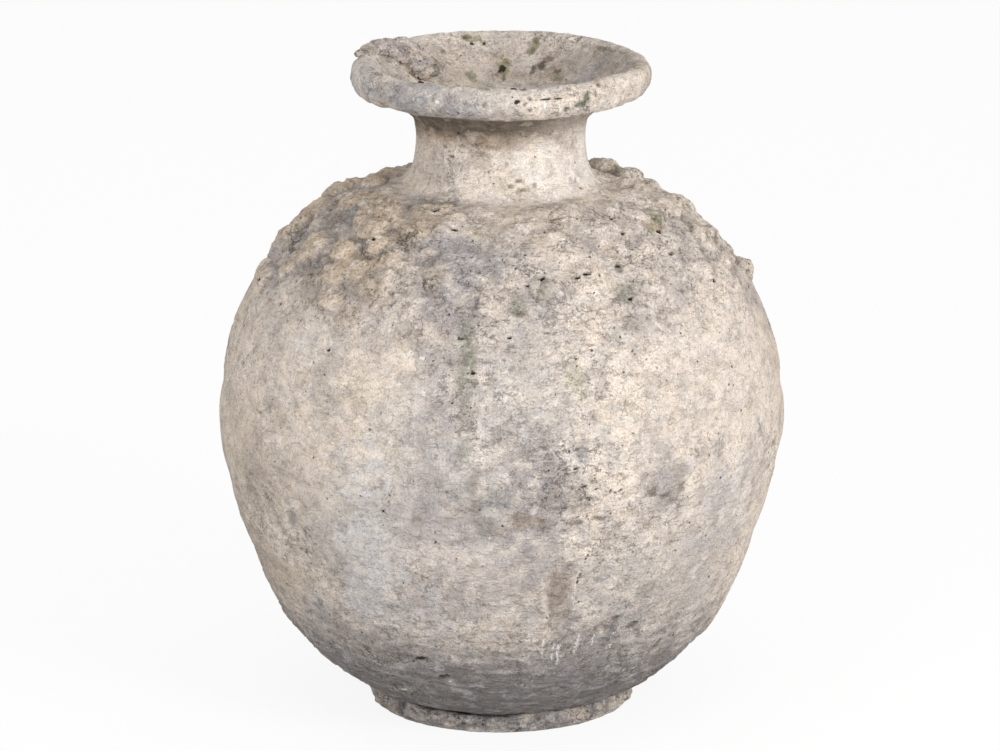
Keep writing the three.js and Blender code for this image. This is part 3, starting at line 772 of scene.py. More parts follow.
def paint_body(coat, ground, zones, crusty, tops, warp):
    points = ground.points
    tall = points * np.array([1, 1, 0.28])  # features are about 3.5 times as tall as they are wide
    coat.lay("blush", step(noise(tall, 46, 61) + 0.4 * noise(points, 18, 62), -0.2, 0.5) * 0.6)
    coat.lay("stone", step(noise(tall, 34, 63) + 0.5 * noise(points, 12, 64), 0.0, 0.5) * 0.55)
    wide_streaks = noise(points * np.array([1, 1, 0.1]), 24, 69)
    fine_streaks = noise(points * np.array([1, 1, 0.2]), 10, 70)
    coat.lay("mauve", step(wide_streaks + 0.5 * fine_streaks, 0.1, 0.7) * 0.35 * (1 - crusty))
    coat.lay("mauve", crusty * step(noise(points, 36, 65), -0.3, 0.5) * 0.3)
    coat.lay_patches(ground, front_patches + back_patches(), skin.at_height, warp, zones.body)
    left = step(ground.bearing, -5, -35)
    valleys = crusty * (1 - tops) * step(noise(points, 28, 66), -0.35, 0.3)
    coat.lay("mauve", valleys * (0.2 + 0.4 * left))
    coat.lay("tan", tops * (0.15 + 0.65 * left))
    # Darker towards the bottom, partly grey clay and partly painted shade. On the lit right side the dark
    # starts lower.
    lifted = ground.height + 24 * np.exp(-(((ground.bearing - 80) / 32) ** 2))
    coat.lay("mauve", step(lifted + warp[1] * 1.2, 138, 80) * 0.8 * zones.body)
    coat.lay("slate", step(lifted + warp[1] * 0.8, 114, 60) * 0.72 * zones.body)
    # Painted light: the shoulder's flat top by the neck's foot is lightened on the front and right, where it
    # lies in shade.
    foot_of_neck = np.exp(-(((ground.distance - neck_foot + 16) / 26) ** 2))
    coat.lay("cream", foot_of_neck * step(ground.bearing, -30, 10) * 0.75 * zones.body)


def paint_neck(coat, ground, zones, warp):
    coat.lay("pale", zones.neck * 0.7)
    # Painted light and shade: the neck is lighter towards its lit right side and darker sand towards its
    # left.
    coat.lay("lime", zones.neck * step(ground.bearing, -20, 75) * 0.65)
    coat.lay("cream", zones.neck * step(ground.bearing, 10, 60) * 0.4)
    coat.lay("sand", zones.neck * step(ground.bearing, -20, -80) * 0.3)
    coat.lay("blush", zones.neck * step(noise(ground.points, 30, 67), -0.2, 0.4) * 0.35)
    coat.lay_patches(ground, neck_patches, skin.at_height, warp, zones.neck)
    # A brown band under the lip, partly dirt and partly painted shade. It is weaker towards the right, where
    # the light reaches under the lip.
    shaded = ground.height + 5 * rough_noise(ground.points, 14, 68, 3)
    neck_and_flare = step(ground.distance, neck_foot - 6, neck_foot + 14)
    neck_and_flare = neck_and_flare * step(ground.distance, neck_top + 40, neck_top + 25)
    overhung = neck_and_flare * (1 - 0.6 * step(ground.bearing, 0, 45))
    coat.lay("umber", step(shaded, 490, 508) * overhung * 0.85)
    coat.lay("bark", step(shaded, 503, 511) * overhung * 0.85)


def paint_rim(coat, ground, zones, warp):
    coat.lay("stone", zones.rim * 0.45)
    coat.lay("tan", step(ground.distance, neck_top + 92, neck_top + 108) * 0.3)
    coat.lay_patches(ground, rim_patches, past_neck, warp, zones.rim)


def paint_weather(coat, ground, low, hollow, rough):
    """Mottling all over, dark creases, painted shade in the hollows, and pale edges."""
    points = ground.points
    mottle = rough_noise(points, 17, 71, 4)
    blotch = rough_noise(points, 9, 73, 3)
    coat.lay("taupe", step(mottle, 0.1, 0.5) * (0.32 + 0.12 * rough))
    coat.lay("pale", step(mottle, -0.1, -0.5) * (0.3 + 0.1 * rough) * (1 - low))
    coat.lay("ash", step(mottle, -0.1, -0.6) * 0.4 * low)
    coat.lay("slate", step(noise(points, (26, 26, 15), 74), 0.1, 0.6) * 0.45 * low)
    coat.lay("stone", step(noise(points, (20, 20, 11), 75), 0.2, 0.6) * 0.4 * low)
    coat.lay("bark", step(blotch, 0.35, 0.85) * 0.4 * rough)
    coat.lay("bark", wrinkles(points) * (0.15 + 0.15 * rough))
    # Painted shade: darker in the skin's hollows, and darkest in the deepest ones.
    coat.lay("taupe", np.clip(hollow, 0, 1) * 0.3)
    coat.lay("bark", np.clip(hollow - 0.8, 0, 1) * 0.4)
    coat.lay("pale", np.clip(-hollow, 0, 1) * 0.3 * (1 - 0.7 * low))


def skin_marks(ground, rise, shade, tops=0.0):
    """Colour of a stretch at each place, and how mossy, limy, dark and rough it is."""
    points = ground.points
    zones = Zones(ground)
    crusty = crusty_share(ground)
    hollow = (spread(rise, 3) - rise) / 0.8 + (spread(rise, 9) - rise) / 5
    rough = roughness_share(ground) + 0.5 * crusty + 0.3 * zones.low + 0.25 * zones.rim
    rough = np.clip(rough, 0, 1)
    warp = [
        14 * noise(points, 40, 51) + 6 * noise(points, 13, 52),
        16 * noise(points, 40, 53) + 7 * noise(points, 13, 54),
        0.55 * rough_noise(points, 14, 55, 4),
    ]
    small_warp = [2.4 * noise(points, 6, 56), 2.4 * noise(points, 6, 57), 0.5 * noise(points, 3, 58)]
    moss_warp = [4 * noise(points, 8, 59), 5 * noise(points, 8, 60), 0.8 * rough_noise(points, 7, 50, 3)]

    coat = Coat(points.shape, "cream")
    paint_body(coat, ground, zones, crusty, tops, warp)
    paint_neck(coat, ground, zones, warp)
    paint_rim(coat, ground, zones, warp)
    paint_weather(coat, ground, zones.low, hollow, rough)

    # The soot mark holds the soot spots and the painted shade in holes, cracks and crevices.
    soot_and_shade = shade
    for spots, place, here in (
        (front_spots, skin.at_height, zones.body),
        (neck_spots, skin.at_height, zones.neck),
        (rim_spots, past_neck, zones.rim),
    ):
        coat.lay_patches(ground, spots, place, small_warp, here)
        soot_and_shade = np.maximum(soot_and_shade, strongest(ground, without_tone(spots, "soot_and_shade"), place, small_warp, here))
    moss = 0.3 * crusty * step(noise(points, 30, 72), 0.25, 0.8)
    moss = np.maximum(moss, strongest(ground, front_moss, skin.at_height, moss_warp, 1 - zones.rim))
    moss = np.maximum(moss, strongest(ground, rim_moss, past_neck, moss_warp, zones.rim))
    lime = strongest(ground, front_lime, skin.at_height, small_warp, zones.body)
    lime = np.maximum(lime, strongest(ground, rim_lime, past_neck, small_warp, zones.rim))
    return {"clay": coat.colour, "moss": moss, "lime": lime, "soot_and_shade": soot_and_shade, "rough": rough}


def points_of(mesh):
    """The places of a mesh's vertices in millimetres."""
    return np.array([vertex.co for vertex in mesh.vertices]) / MM


def move_vertices(mesh, points):
    """Puts a mesh's vertices at points in millimetres."""
    mesh.vertices.foreach_set("co", (points * MM).astype(np.float32).ravel())


def add_piece(mesh, node, slot):
    """The mesh as an object that stands for a node."""
    mesh.polygons.foreach_set("use_smooth", np.ones(len(mesh.polygons), bool))
    mesh.materials.append(clays[slot])
    piece = bpy.data.objects.new(node + "_skin", mesh)
    bpy.context.scene.collection.objects.link(piece)
    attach(piece, "root")
    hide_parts(node)
    return piece


def outward(columns):
    """Unit vectors that point away from the axis, one for each column."""
    turn = np.radians(bearings(columns))
    return np.stack([np.sin(turn), -np.cos(turn), 0 * turn], axis=-1)


def turned(line, columns):
    """The grid of points that a line of radii and heights sweeps round the axis."""
    line = np.array(line, float)
    return line[:, None, :1] * outward(columns) + line[:, None, 1:] * np.array([0, 0, 1])


def ring_faces(rows, columns):
    """Quads of a closed ring whose rows run up its outside and down its inside."""
    row = np.arange(rows)[:, None] * columns
    above = np.roll(np.arange(rows), -1)[:, None] * columns
    column = np.arange(columns)[None, :]
    beside = np.roll(np.arange(columns), -1)[None, :]
    return np.stack([row + column, row + beside, above + beside, above + column], axis=-1).reshape(-1, 4)


def add_ring(grid, node, slot):
    """A closed ring that stands for a node, from a grid of its points in millimetres."""
    vertices = grid.reshape(-1, 3)
    faces = ring_faces(*grid.shape[:2])
    mesh = bpy.data.meshes.new(node + "_skin")
    mesh.vertices.add(len(vertices))
    move_vertices(mesh, vertices)
    mesh.loops.add(faces.size)
    mesh.loops.foreach_set("vertex_index", faces.astype(np.int32).ravel())
    mesh.polygons.add(len(faces))
    mesh.polygons.foreach_set("loop_start", np.arange(0, faces.size, 4, dtype=np.int32))
    mesh.update(calc_edges=True)
    mesh.validate()
    return add_piece(mesh, node, slot)


def give_marks(piece, marks):
    """Stores the colour and the other marks of each vertex for the materials."""
    attributes = piece.data.attributes
    for name, values in marks.items():
        if name == "clay":
            colours = values.reshape(-1, 3)
            rgba = np.concatenate([colours, np.ones((len(colours), 1))], axis=1).astype(np.float32)
            attributes.new(name, "FLOAT_COLOR", "POINT").data.foreach_set("color", rgba.ravel())
        else:
            numbers = values.astype(np.float32).ravel()
            attributes.new(name, "FLOAT", "POINT").data.foreach_set("value", numbers)


def even_marks(colour, moss=0.0, soot_and_shade=0.0, rough=1.0):
    """The marks of points that have no lime, and whose other marks are given."""
    none = np.zeros(colour.shape[:-1])
    return {"clay": colour, "moss": none + moss, "lime": none, "soot_and_shade": none + soot_and_shade, "rough": none + rough}


def mark_corners(mesh, columns, corner_rows):
    """Marks the edges round the jar in some rows as sharp."""
    ends = np.zeros(len(mesh.edges) * 2, np.int32)
    mesh.edges.foreach_get("vertices", ends)
    rows = ends.reshape(-1, 2) // columns
    is_corner = (rows[:, 0] == rows[:, 1]) & np.isin(rows[:, 0], corner_rows)
    mesh.attributes.new("sharp_edge", "BOOLEAN", "EDGE").data.foreach_set("value", is_corner)


def ring_piece(node, ground, rise, marks, closing, slot):
    """A closed ring: the skin raised along its normals, and the plain line that closes it from its top end
    round to its foot. The closing line's points are radius and height."""
    columns = ground.points.shape[1]
    outside = ground.kept(ground.points + ground.normals * rise[..., None])
    hidden = turned(closing, columns)
    hidden += 0.5 * noise(hidden, 30, 81)[..., None] * outward(columns)
    piece = add_ring(np.concatenate([outside, hidden]), node, slot)
    coat = Coat(hidden.shape, "stone")
    coat.lay("taupe", step(noise(hidden, 40, 82) + 0.5 * noise(hidden, 12, 83), -0.6, 0.8))
    inner = even_marks(coat.colour, rough=0.0)
    give_marks(piece, {name: np.concatenate([ground.kept(marks[name]), inner[name]]) for name in marks})
    seam = len(outside)
    mark_corners(piece.data, columns, [0, seam - 1, seam, seam + len(hidden) - 1])
    return piece


class Shader:
    """The nodes of a material or of the world, added by kind."""

    def __init__(self, owner):
        owner.use_nodes = True
        self.tree = owner.node_tree
        self.tree.nodes.clear()

    def add(self, kind, inputs=None, **settings):
        node = self.tree.nodes.new("ShaderNode" + kind)
        for key, value in settings.items():
            setattr(node, key, value)
        for key, value in (inputs or {}).items():
            if isinstance(value, bpy.types.NodeSocket):
                self.tree.links.new(value, node.inputs[key])
            else:
                node.inputs[key].default_value = value
        return node

    def mark(self, name, output="Fac"):
        """A mark that is stored in the mesh."""
        return self.add("Attribute", attribute_name=name).outputs[output]

    def calc(self, operation, first, second=0.0, third=0.0):
        return self.add("Math", {0: first, 1: second, 2: third}, operation=operation).outputs[0]

    def times(self, first, second):
        return self.calc("MULTIPLY", first, second)

    def plus(self, first, second):
        return self.calc("ADD", first, second)

    def vector(self, operation, first, second, third=(0.0, 0.0, 0.0)):
        return self.add("VectorMath", {0: first, 1: second, 2: third}, operation=operation).outputs[0]

    def slope(self, value, low, high, least=0.0, most=1.0):
        """The value's share of the way from low to high, between least and most."""
        inputs = {"Value": value, "From Min": low, "From Max": high, "To Min": least, "To Max": most}
        return self.add("MapRange", inputs).outputs[0]

    def blend(self, share, first, second, blend_type="MIX"):
        node = self.add("Mix", {0: share, 6: first, 7: second}, data_type="RGBA", blend_type=blend_type)
        return node.outputs[2]

    def stain(self, colour, share, strength, tone):
        """The colour with a tone over it where the share is 1."""
        return self.blend(self.times(share, strength), colour, plain(tone))

    def noise(self, place, size, detail=4.0, rough=0.6):
        """Noise from 0 to 1 with features of a size in millimetres."""
        inputs = {"Vector": place, "Scale": 1 / (size * MM), "Detail": detail, "Roughness": rough}
        return self.add("TexNoise", inputs).outputs["Fac"]

    def moved(self, point, place, scale, detail, rough, reach):
        """The point moved about by noise, by up to a reach in metres along each axis."""
        inputs = {"Vector": place, "Scale": scale, "Detail": detail, "Roughness": rough}
        sway = self.add("TexNoise", inputs).outputs["Color"]
        return self.vector("MULTIPLY_ADD", sway, (reach, reach, reach), point)

    def pores(self, place, spacing, share, radius):
        """1 inside round pores that a share of the cells hold, with a radius up to one in millimetres."""
        cells = self.add("TexVoronoi", {"Vector": place, "Scale": 1 / (spacing * MM)})
        chances = self.add("SeparateColor", {"Color": cells.outputs["Color"]})
        widest = radius / spacing
        wide = self.calc("MULTIPLY_ADD", chances.outputs["Green"], 0.75 * widest, 0.25 * widest)
        inside = self.calc("SUBTRACT", 1.0, self.calc("DIVIDE", cells.outputs["Distance"], wide))
        held = self.calc("LESS_THAN", chances.outputs["Red"], share)
        return self.times(self.slope(inside, 0.0, 0.5), held)

    def cracks(self, place, spacing, width):
        """1 along fine cracks between cells about one spacing wide, for a width in millimetres."""
        inputs = {"Vector": place, "Scale": 1 / (spacing * MM)}
        cells = self.add("TexVoronoi", inputs, feature="DISTANCE_TO_EDGE")
        return self.slope(cells.outputs["Distance"], 0.6 * width / spacing, 0.2 * width / spacing)

    def layers(self, place, size, count):
        """Height of thin ragged layers that lie on each other, and 1 in the creases along their edges."""
        inputs = {"Vector": place, "Scale": 1 / (size * MM), "Detail": 5.0, "Roughness": 0.6}
        noise = self.add("TexNoise", inputs | {"Distortion": 0.4})
        value = self.times(noise.outputs["Fac"], count)
        part = self.calc("FRACT", value)
        height = self.plus(self.calc("FLOOR", value), self.slope(part, 0.0, 0.25))
        return height, self.times(self.slope(part, 0.0, 0.05), self.slope(part, 0.3, 0.12))


def plain(tone):
    """A tone as a colour without any texture."""
    return (*linear(tone), 1.0)


def grained(shader, place, rough, mottle, blotch, fine):
    """The mesh's colour with warm and cool parts and a light and dark grain."""
    colour = shader.mark("clay", "Color")
    warm = shader.blend(1.0, colour, (1.02, 0.995, 0.965, 1), "MULTIPLY")
    cool = shader.blend(1.0, colour, (0.965, 0.98, 1.01, 1), "MULTIPLY")
    colour = shader.blend(shader.slope(shader.noise(place, 16, 8.0, 0.7), 0.38, 0.62), warm, cool)
    light = shader.slope(mottle, 0.3, 0.7, 0.88, 1.12)
    for grain, least, most in ((blotch, 0.84, 1.16), (fine, 0.74, 1.3)):
        light = shader.times(light, shader.slope(grain, 0.3, 0.7, least, most))
    contrast = shader.slope(rough, 0.0, 1.0, 0.75, 1.15)
    light = shader.calc("MULTIPLY_ADD", shader.calc("SUBTRACT", light, 1.0), contrast, 1.0)
    grey = shader.add("CombineColor", {0: light, 1: light, 2: light}).outputs[0]
    return shader.blend(1.0, colour, grey, "MULTIPLY")


def overgrown(shader, place, colour):
    """The colour with the moss, lime, soot spots and painted shade that the mesh's marks ask for."""
    growth = shader.slope(shader.plus(shader.mark("moss"), shader.noise(place, 2.4, 5.0, 0.8)), 0.9, 1.15)
    green = shader.blend(shader.slope(shader.noise(place, 5), 0.38, 0.6), plain("moss"), plain("pine"))
    colour = shader.blend(shader.times(growth, 0.62), colour, green)
    tall = shader.vector("MULTIPLY", place, (1.0, 1.0, 0.16))
    lime = shader.plus(shader.mark("lime"), shader.noise(tall, 2.6, 4.0, 0.7))
    colour = shader.stain(colour, shader.slope(lime, 0.88, 0.98), 0.7, "lime")
    # Soot spots and painted shade in holes, cracks and crevices darken the colour here.
    soot_and_shade = shader.plus(shader.mark("soot_and_shade"), shader.noise(place, 2.0, 4.0, 0.7))
    return shader.stain(colour, shader.slope(soot_and_shade, 0.75, 1.05), 0.95, "soot_and_shade")


def clay_material(name, grain=1.0, pore_share=0.5):
    """Coarse weathered clay. Its patches come with the mesh, and its grain, pores and flecks from here."""
    material = bpy.data.materials.new(name)
    shader = Shader(material)
    place = shader.add("TexCoord").outputs["Object"]
    flat = shader.vector("MULTIPLY", place, (1.0, 1.0, 1.9))
    shaken = shader.moved(place, place, 450.0, 2.0, 0.5, 0.0022)
    swayed = shader.moved(flat, place, 120.0, 4.0, 0.7, 0.014)
    rough = shader.mark("rough")
    marked = shader.slope(rough, 0.0, 1.0, 0.35, 1.0)

    mottle = shader.noise(place, 13, 6.0, 0.62)
    blotch = shader.noise(place, 3.6, 5.0, 0.75)
    fine = shader.noise(place, 1.4, 2.0, 0.8)
    layers, layer_creases = shader.layers(flat, 12, 4)
    broken = shader.slope(shader.noise(place, 9, 4.0, 0.7), 0.56, 0.61)
    crazed = shader.slope(shader.noise(place, 14, 5.0, 0.7), 0.53, 0.59)
    crazing = shader.times(shader.cracks(swayed, 13, 1.3), crazed)
    hairs = shader.times(shader.cracks(swayed, 6, 0.9), broken)
    creases = shader.calc("MAXIMUM", hairs, shader.times(layer_creases, broken))
    creases = shader.times(shader.calc("MAXIMUM", crazing, creases), marked)
    grit = shader.noise(place, 2.4, 2.0, 0.5)
    specks = shader.times(shader.slope(grit, 0.65, 0.69), marked)
    pits = shader.pores(shaken, 9, pore_share, 1.3)
    dots = shader.times(shader.pores(shaken, 4.5, 0.3, 0.8), shader.slope(marked, 0.3, 1.0, 0.6, 1.0))

    colour = grained(shader, place, rough, mottle, blotch, fine)
    for share, strength, tone in (
        (shader.times(shader.slope(grit, 0.35, 0.3), marked), 0.4, "lime"),
        (shader.pores(shaken, 8, 0.14, 1.1), 0.7, "lime"),
        (specks, 0.6, "bark"),
        (dots, 0.6, "bark"),
        (creases, 0.62, "bark"),
        (pits, 0.8, "soot_and_shade"),
    ):
        colour = shader.stain(colour, share, strength, tone)
    colour = overgrown(shader, place, colour)

    height = shader.calc("MULTIPLY_ADD", fine, 0.5, shader.times(mottle, 1.2))
    for part, weight in ((blotch, 0.9), (layers, 0.35), (creases, -0.5), (pits, -1.2), (specks, -0.3)):
        height = shader.calc("MULTIPLY_ADD", part, weight, height)
    bump = shader.add("Bump", {"Height": height, "Distance": 0.0018 * grain, "Strength": 1.0})
    surface = shader.add("BsdfPrincipled", {
        "Base Color": colour,
        "Roughness": shader.slope(fine, 0.2, 0.8, 0.85, 1.0),
        "Specular IOR Level": 0.2,
        "Normal": bump.outputs["Normal"],
    })
    shader.add("OutputMaterial", {"Surface": surface.outputs[0]})
    return material


clays = {
    "coarse_clay": clay_material("coarse_clay"),
    "crust_clay": clay_material("crust_clay", grain=1.2, pore_share=0.7),
    "foot_clay": clay_material("foot_clay", grain=1.5, pore_share=0.8),
}


def inner_wall(start, end):
    """Points of the wall's inner side from one distance down to another, about 12 mm apart."""
    distances = np.linspace(start, end, max(2, round(abs(end - start) / 12)))
    radius, height, out, up = skin.at(distances)
    return list(zip(radius - out * wall_thickness, height - up * wall_thickness))


def wall_piece(node, start, end, rows, columns, closing):
    """A piece whose outside is a stretch of the bare wall."""
    ground = Ground(start, end, rows, columns)
    depth, shade = hole_relief(ground)
    rise = wall_relief(ground) - depth
    if start >= skin.ends["shoulder"]:
        rise += crust_relief(ground)[0]
    ring_piece(node, ground, rise, skin_marks(ground, rise, shade), closing, "coarse_clay")


seam_height = (band_bottom_height + band_top_height) / 2  # of the seam behind the belly's band
behind_band = belly_wall_radius - sink
band_seam = [(behind_band, seam_height), (belly_wall_radius - wall_thickness, seam_height)]
shoulder_seam = neck_foot - shoulder_seam_reach
neck_seat_radius = neck_base_radius - 10


def build_lower_wall():
    end = skin.ends["lower"]
    floor_edge = base_radius + slip_gap
    closing = inner_wall(end, 12) + [(floor_edge, foot_height + base_thickness), (floor_edge, foot_height)]
    wall_piece("lower_wall", 0, end, 66, body_columns, closing)


def build_middle_wall():
    start, end = skin.ends["lower"], skin.ends["middle"]
    closing = [(behind_band, band_bottom_height + 1), *band_seam, *inner_wall(end, start)]
    wall_piece("middle_wall", start, end, 98, body_columns, closing)


def build_belly_band():
    inside = behind_band + 0.5
    closing = [(inside, band_top_height), (inside, band_bottom_height)]
    wall_piece("belly_band", skin.ends["middle"], skin.ends["band"], 40, body_columns, closing)


def build_shoulder_wall():
    start = skin.ends["band"]
    closing = [*inner_wall(shoulder_seam, start), *band_seam[::-1], (behind_band, band_top_height - 1)]
    wall_piece("shoulder_wall", start, shoulder_seam, 92, body_columns, closing)


def build_upper_shoulder():
    ground = Ground(shoulder_seam, neck_foot - 1, 40, body_columns // 4)
    rise = np.full_like(ground.radius, -sink)
    opening = spigot_radius + slip_gap
    closing = [(opening, neck_base_height - 1), (opening, neck_base_height - wall_thickness)]
    closing += inner_wall(neck_foot - 6, shoulder_seam)
    ring_piece("upper_shoulder", ground, rise, skin_marks(ground, rise, 0 * rise), closing, "coarse_clay")


def build_shoulder_crust():
    start = neck_foot - crust_reach
    ground = Ground(start, skin.ends["shoulder"], 110, body_columns)
    cover = crust_cover(ground)
    lumps, crevice, tops = crust_relief(ground)
    depth, shade = hole_relief(ground)
    rise = wall_relief(ground) + cover * lumps - 1.6 * (1 - cover) - depth * (0.3 + 0.7 * cover)
    # The crust's crevices are darkened along with the holes and cracks: painted shade.
    marks = skin_marks(ground, rise, np.maximum(shade, 0.42 * crevice * cover), tops * cover)
    under = Ground(skin.ends["shoulder"], start, 6, 1)
    inside = under.kept(under.points - under.normals * (sink + 1.5))[:, 0]
    closing = np.stack([np.hypot(inside[:, 0], inside[:, 1]), inside[:, 2]], axis=1)
    ring_piece("shoulder_crust", ground, rise, marks, closing, "crust_clay")


def build_neck_coil():
    closing = [(neck_seat_radius, neck_base_height + coil_reach), (neck_seat_radius, neck_base_height)]
    closing.append((neck_base_radius + coil_reach - 2, neck_base_height - 12))
    wall_piece("neck_coil", skin.ends["shoulder"], skin.ends["coil"], 22, neck_columns, closing)


def build_neck_collar():
    tongue_top = neck_top_height + tongue_length
    spigot_foot = neck_base_height - spigot_depth
    behind_coil = neck_seat_radius - 0.5
    closing = [(spigot_radius, neck_top_height), (spigot_radius, tongue_top)]
    closing += [(neck_bore, height) for height in np.linspace(tongue_top, spigot_foot, 8)]
    closing += [(spigot_radius, spigot_foot), (spigot_radius, neck_base_height)]
    closing += [(behind_coil, neck_base_height), (behind_coil, neck_base_height + coil_reach - 1)]
    wall_piece("neck_collar", skin.ends["coil"], neck_top, 42, neck_columns, closing)


def build_mouth_rim():
    round_tongue = spigot_radius + slip_gap
    tongue_top = neck_top_height + tongue_length
    closing = [(neck_bore, tongue_top), (round_tongue, tongue_top), (round_tongue, neck_top_height)]
    wall_piece("mouth_rim", neck_top, skin.ends["dish"], 124, neck_columns, closing)


def build_foot_ring():
    outside = arc((foot_radius, 0), (foot_top_radius, foot_height), foot_bulge, 14)
    top = [(foot_top_radius - 3, foot_height + 0.5), (foot_top_radius - 7, foot_height)]
    inside = [(body_foot_radius - 6, foot_height), (foot_bore, foot_height), (foot_bore, foot_height / 2)]
    below = [(foot_bore, 0), ((foot_radius + foot_bore) / 2, 0)]
    grid = turned(np.concatenate([outside, top, inside, below]), foot_columns)
    bearing = bearings(foot_columns)
    away = 2.2 * noise(grid, 40, 91) + 2.6 * noise(grid, 15, 92) + 1.8 * rough_noise(grid, 7, 93, 2)
    stands = step(grid[..., 2], 0, 3)
    grid += (away * (0.35 + 0.65 * stands))[..., None] * outward(foot_columns)
    reach = np.hypot(grid[..., 0], grid[..., 1])
    top = step(grid[..., 2], foot_height - 3, foot_height) * step(reach, 100, 106)
    filled = 3.2 * (1 - bell(bearing + 12, 0, 28, 1))
    grid[..., 2] += top * (1.8 * noise(grid, 26, 94) + 1.2 * noise(grid, 8, 90) - 0.3 + filled)
    piece = add_ring(grid, "foot_ring", "foot_clay")
    coat = Coat(grid.shape, "stone")
    coat.lay("mauve", step(noise(grid, 30, 95) + 0.5 * noise(grid, 9, 96), -0.5, 0.3) * 0.95)
    coat.lay("sand", step(noise(grid, 18, 97), 0, 0.6) * 0.5)
    coat.lay("cream", 0.5 * bell(bearing - 65, 0, 35, 1) + 0.3 * bell(bearing + 80, 0, 20, 1))
    coat.lay("slate", step(away, -0.6, -2.2) * 0.7)
    # Painted shade in the crevice where the body meets the foot ring, mostly just left of the front.
    crevice = step(grid[..., 2], foot_height - 4, foot_height) * step(reach, 113, 107)
    crevice = crevice * (0.1 + 0.9 * bell(bearing + 12, 0, 24, 1))
    give_marks(piece, even_marks(coat.colour, soot_and_shade=0.5 * crevice))


def build_base_slab():
    rings = np.linspace(0.5, base_radius, 18)
    line = [(radius, foot_height) for radius in rings]
    line += [(radius, foot_height + base_thickness) for radius in rings[::-1]]
    grid = turned(line, base_columns)
    reach = np.hypot(grid[..., 0], grid[..., 1])
    grid[..., 2] += 0.4 * noise(grid, 22, 98) * step(reach, foot_bore, foot_bore - 10)
    piece = add_ring(grid, "base_slab", "foot_clay")
    coat = Coat(grid.shape, "taupe")
    coat.lay("slate", step(noise(grid, 25, 99), -0.3, 0.6))
    give_marks(piece, even_marks(coat.colour, rough=0.5))


# Lumps of the rim's crust: bearing, distance past the neck's top, and radius
rim_lumps = [
    (-101, 84, 8), (-106, 88, 9), (-112, 84, 9), (-112, 93, 10), (-117, 87, 10), (-118, 98, 11),
    (-122, 90, 10), (-125, 99, 12), (-128, 92, 9), (-132, 99, 10), (-128, 110, 11), (-121, 107, 10),
    (-136, 106, 9), (-135, 117, 12), (-127, 121, 9), (-134, 129, 8), (-125, 131, 6), (-141, 122, 8),
]


def rim_ball(bearing, along, radius):
    """A ball pressed flat, with its middle just over the skin."""
    ring_radius, height, out, up = skin.at(neck_top + along)
    turn = math.radians(bearing)
    away = np.array([math.sin(turn), -math.cos(turn)])
    bpy.ops.mesh.primitive_ico_sphere_add(subdivisions=4, radius=radius * MM)
    ball = bpy.context.object
    points = points_of(ball.data) * np.array([1, 1, 0.5])
    points += np.array([*(ring_radius * away), height]) + 0.5 * np.array([*(out * away), up])
    move_vertices(ball.data, points)
    return ball


def fused(parts):
    """The mesh of some objects melted into one skin."""
    with bpy.context.temp_override(active_object=parts[0], selected_editable_objects=parts):
        bpy.ops.object.join()
    cluster = parts[0]
    remesh = cluster.modifiers.new("remesh", "REMESH")
    remesh.mode = "VOXEL"
    remesh.voxel_size = rim_voxel * MM
    mesh = bpy.data.meshes.new_from_object(cluster.evaluated_get(bpy.context.evaluated_depsgraph_get()))
    bpy.data.objects.remove(cluster)
    return mesh


def build_rim_crust():
    """The cluster of layered lumps on the mouth's back left."""
    mesh = fused([rim_ball(*lump) for lump in rim_lumps])
    points = points_of(mesh)
    normals = np.array([vertex.normal for vertex in mesh.vertices])
    rise = 1.4 * noise(points, 11, 101) + 0.9 * noise(points, 5, 102) + 0.9 * noise(points, (30, 30, 5), 103)
    rise += 0.4 * noise(points, 2.5, 106)
    points = points + normals * rise[:, None]
    move_vertices(mesh, points)
    mesh.name = "rim_crust_skin"
    mesh.materials.clear()
    piece = add_piece(mesh, "rim_crust", "crust_clay")
    coat = Coat(points.shape, "blush")
    coat.lay("sand", step(noise(points, 14, 104), 0, 0.6))
    coat.lay("mauve", step(noise(points, 10, 107), -0.1, 0.5) * 0.7)
    # Painted shade in the cluster's dents: umber where its skin sinks, and dark where it sinks deepest.
    coat.lay("umber", step(rise, 0, -1.6) * 0.5)
    moss = 0.6 * step(noise(points, 16, 105), 0.1, 0.6)
    soot_and_shade = 0.8 * step(rise, -1.6, -2.4)
    give_marks(piece, even_marks(coat.colour, moss, soot_and_shade))


def build_floor():
    """A plain floor, white where it is seen and pale grey in the light that it throws back."""
    half = 15
    mesh = bpy.data.meshes.new("floor")
    corners = [(-half, -half, 0), (half, -half, 0), (half, half, 0), (-half, half, 0)]
    mesh.from_pydata(corners, [], [(0, 1, 2, 3)])
    floor = bpy.data.objects.new("floor", mesh)
    bpy.context.scene.collection.objects.link(floor)
    material = bpy.data.materials.new("floor")
    shader = Shader(material)
    lit = shader.add("BsdfDiffuse", {"Color": (0.55, 0.55, 0.55, 1)})
    pale = shader.add("BsdfDiffuse", {"Color": (0.9, 0.9, 0.9, 1)})
    white = shader.add("Emission", {"Color": (1, 1, 1, 1), "Strength": 1.0})
    bright = shader.add("MixShader", {0: 0.88, 1: pale.outputs[0], 2: white.outputs[0]})
    surface = shader.add("MixShader", {0: seen_share(shader), 1: lit.outputs[0], 2: bright.outputs[0]})
    shader.add("OutputMaterial", {"Surface": surface.outputs[0]})
    mesh.materials.append(material)


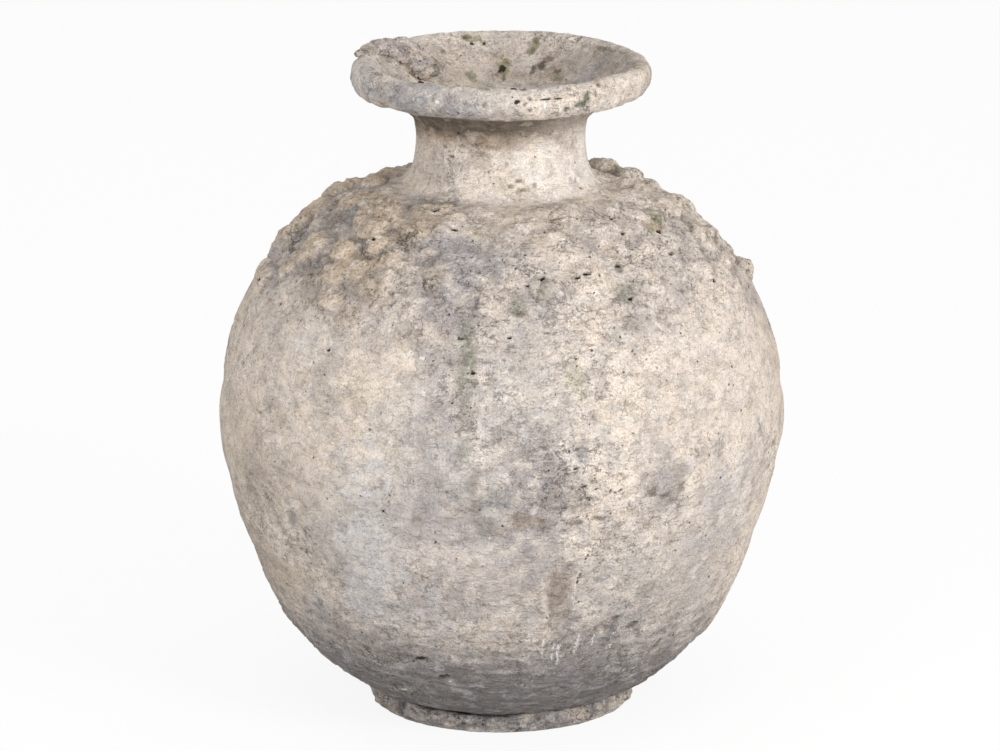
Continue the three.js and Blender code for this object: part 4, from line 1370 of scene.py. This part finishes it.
def seen_share(shader):
    """1 for rays that come from the camera, straight or by a gloss or through glass."""
    path = shader.add("LightPath")
    seen = shader.calc("MAXIMUM", path.outputs["Is Camera Ray"], path.outputs["Is Transmission Ray"])
    return shader.calc("MAXIMUM", seen, path.outputs["Is Glossy Ray"])


def build_world():
    """A white surrounding, dimmer in the light that it throws on the jar."""
    world = bpy.data.worlds.new("studio")
    bpy.context.scene.world = world
    shader = Shader(world)
    level = shader.slope(seen_share(shader), 0.0, 1.0, sky_strength, 1.0)
    background = shader.add("Background", {"Color": (1.0, 1.0, 1.0, 1), "Strength": level})
    shader.add("OutputWorld", {"Surface": background.outputs[0]})


def add_lamp(name, bearing, elevation, away, size, energy, colour):
    """A round soft lamp that points at the middle of the jar."""
    lamp = bpy.data.lights.new(name, "AREA")
    lamp.shape = "DISK"
    lamp.size = size
    lamp.energy = energy
    lamp.color = colour
    holder = bpy.data.objects.new(name, lamp)
    turn, tilt = math.radians(bearing), math.radians(elevation)
    direction = Vector((math.sin(turn) * math.cos(tilt), -math.cos(turn) * math.cos(tilt), math.sin(tilt)))
    holder.location = Vector((0, 0, 0.3)) + direction * away
    holder.rotation_euler = direction.to_track_quat("Z", "Y").to_euler()
    bpy.context.scene.collection.objects.link(holder)


def add_camera():
    camera = bpy.data.cameras.new("camera")
    camera.sensor_fit = "HORIZONTAL"
    camera.sensor_width = 36
    camera.lens = camera_lens
    camera.clip_end = 100
    holder = bpy.data.objects.new("camera", camera)
    holder.location = camera_place
    holder.rotation_euler = (math.radians(90 - camera_tilt), 0, 0)
    bpy.context.scene.collection.objects.link(holder)
    bpy.context.scene.camera = holder


build_foot_ring()
build_base_slab()
build_lower_wall()
build_middle_wall()
build_belly_band()
build_shoulder_wall()
build_upper_shoulder()
build_shoulder_crust()
build_neck_coil()
build_neck_collar()
build_mouth_rim()
build_rim_crust()
build_floor()
build_world()
add_lamp("key", bearing=46, elevation=17, away=2.8, size=1.1, energy=53, colour=(1.0, 0.99, 0.98))
add_lamp("fill", bearing=-35, elevation=12, away=3.2, size=2.0, energy=36, colour=(1.0, 1.0, 1.0))
add_camera()
bpy.context.scene.view_settings.view_transform = "Standard"
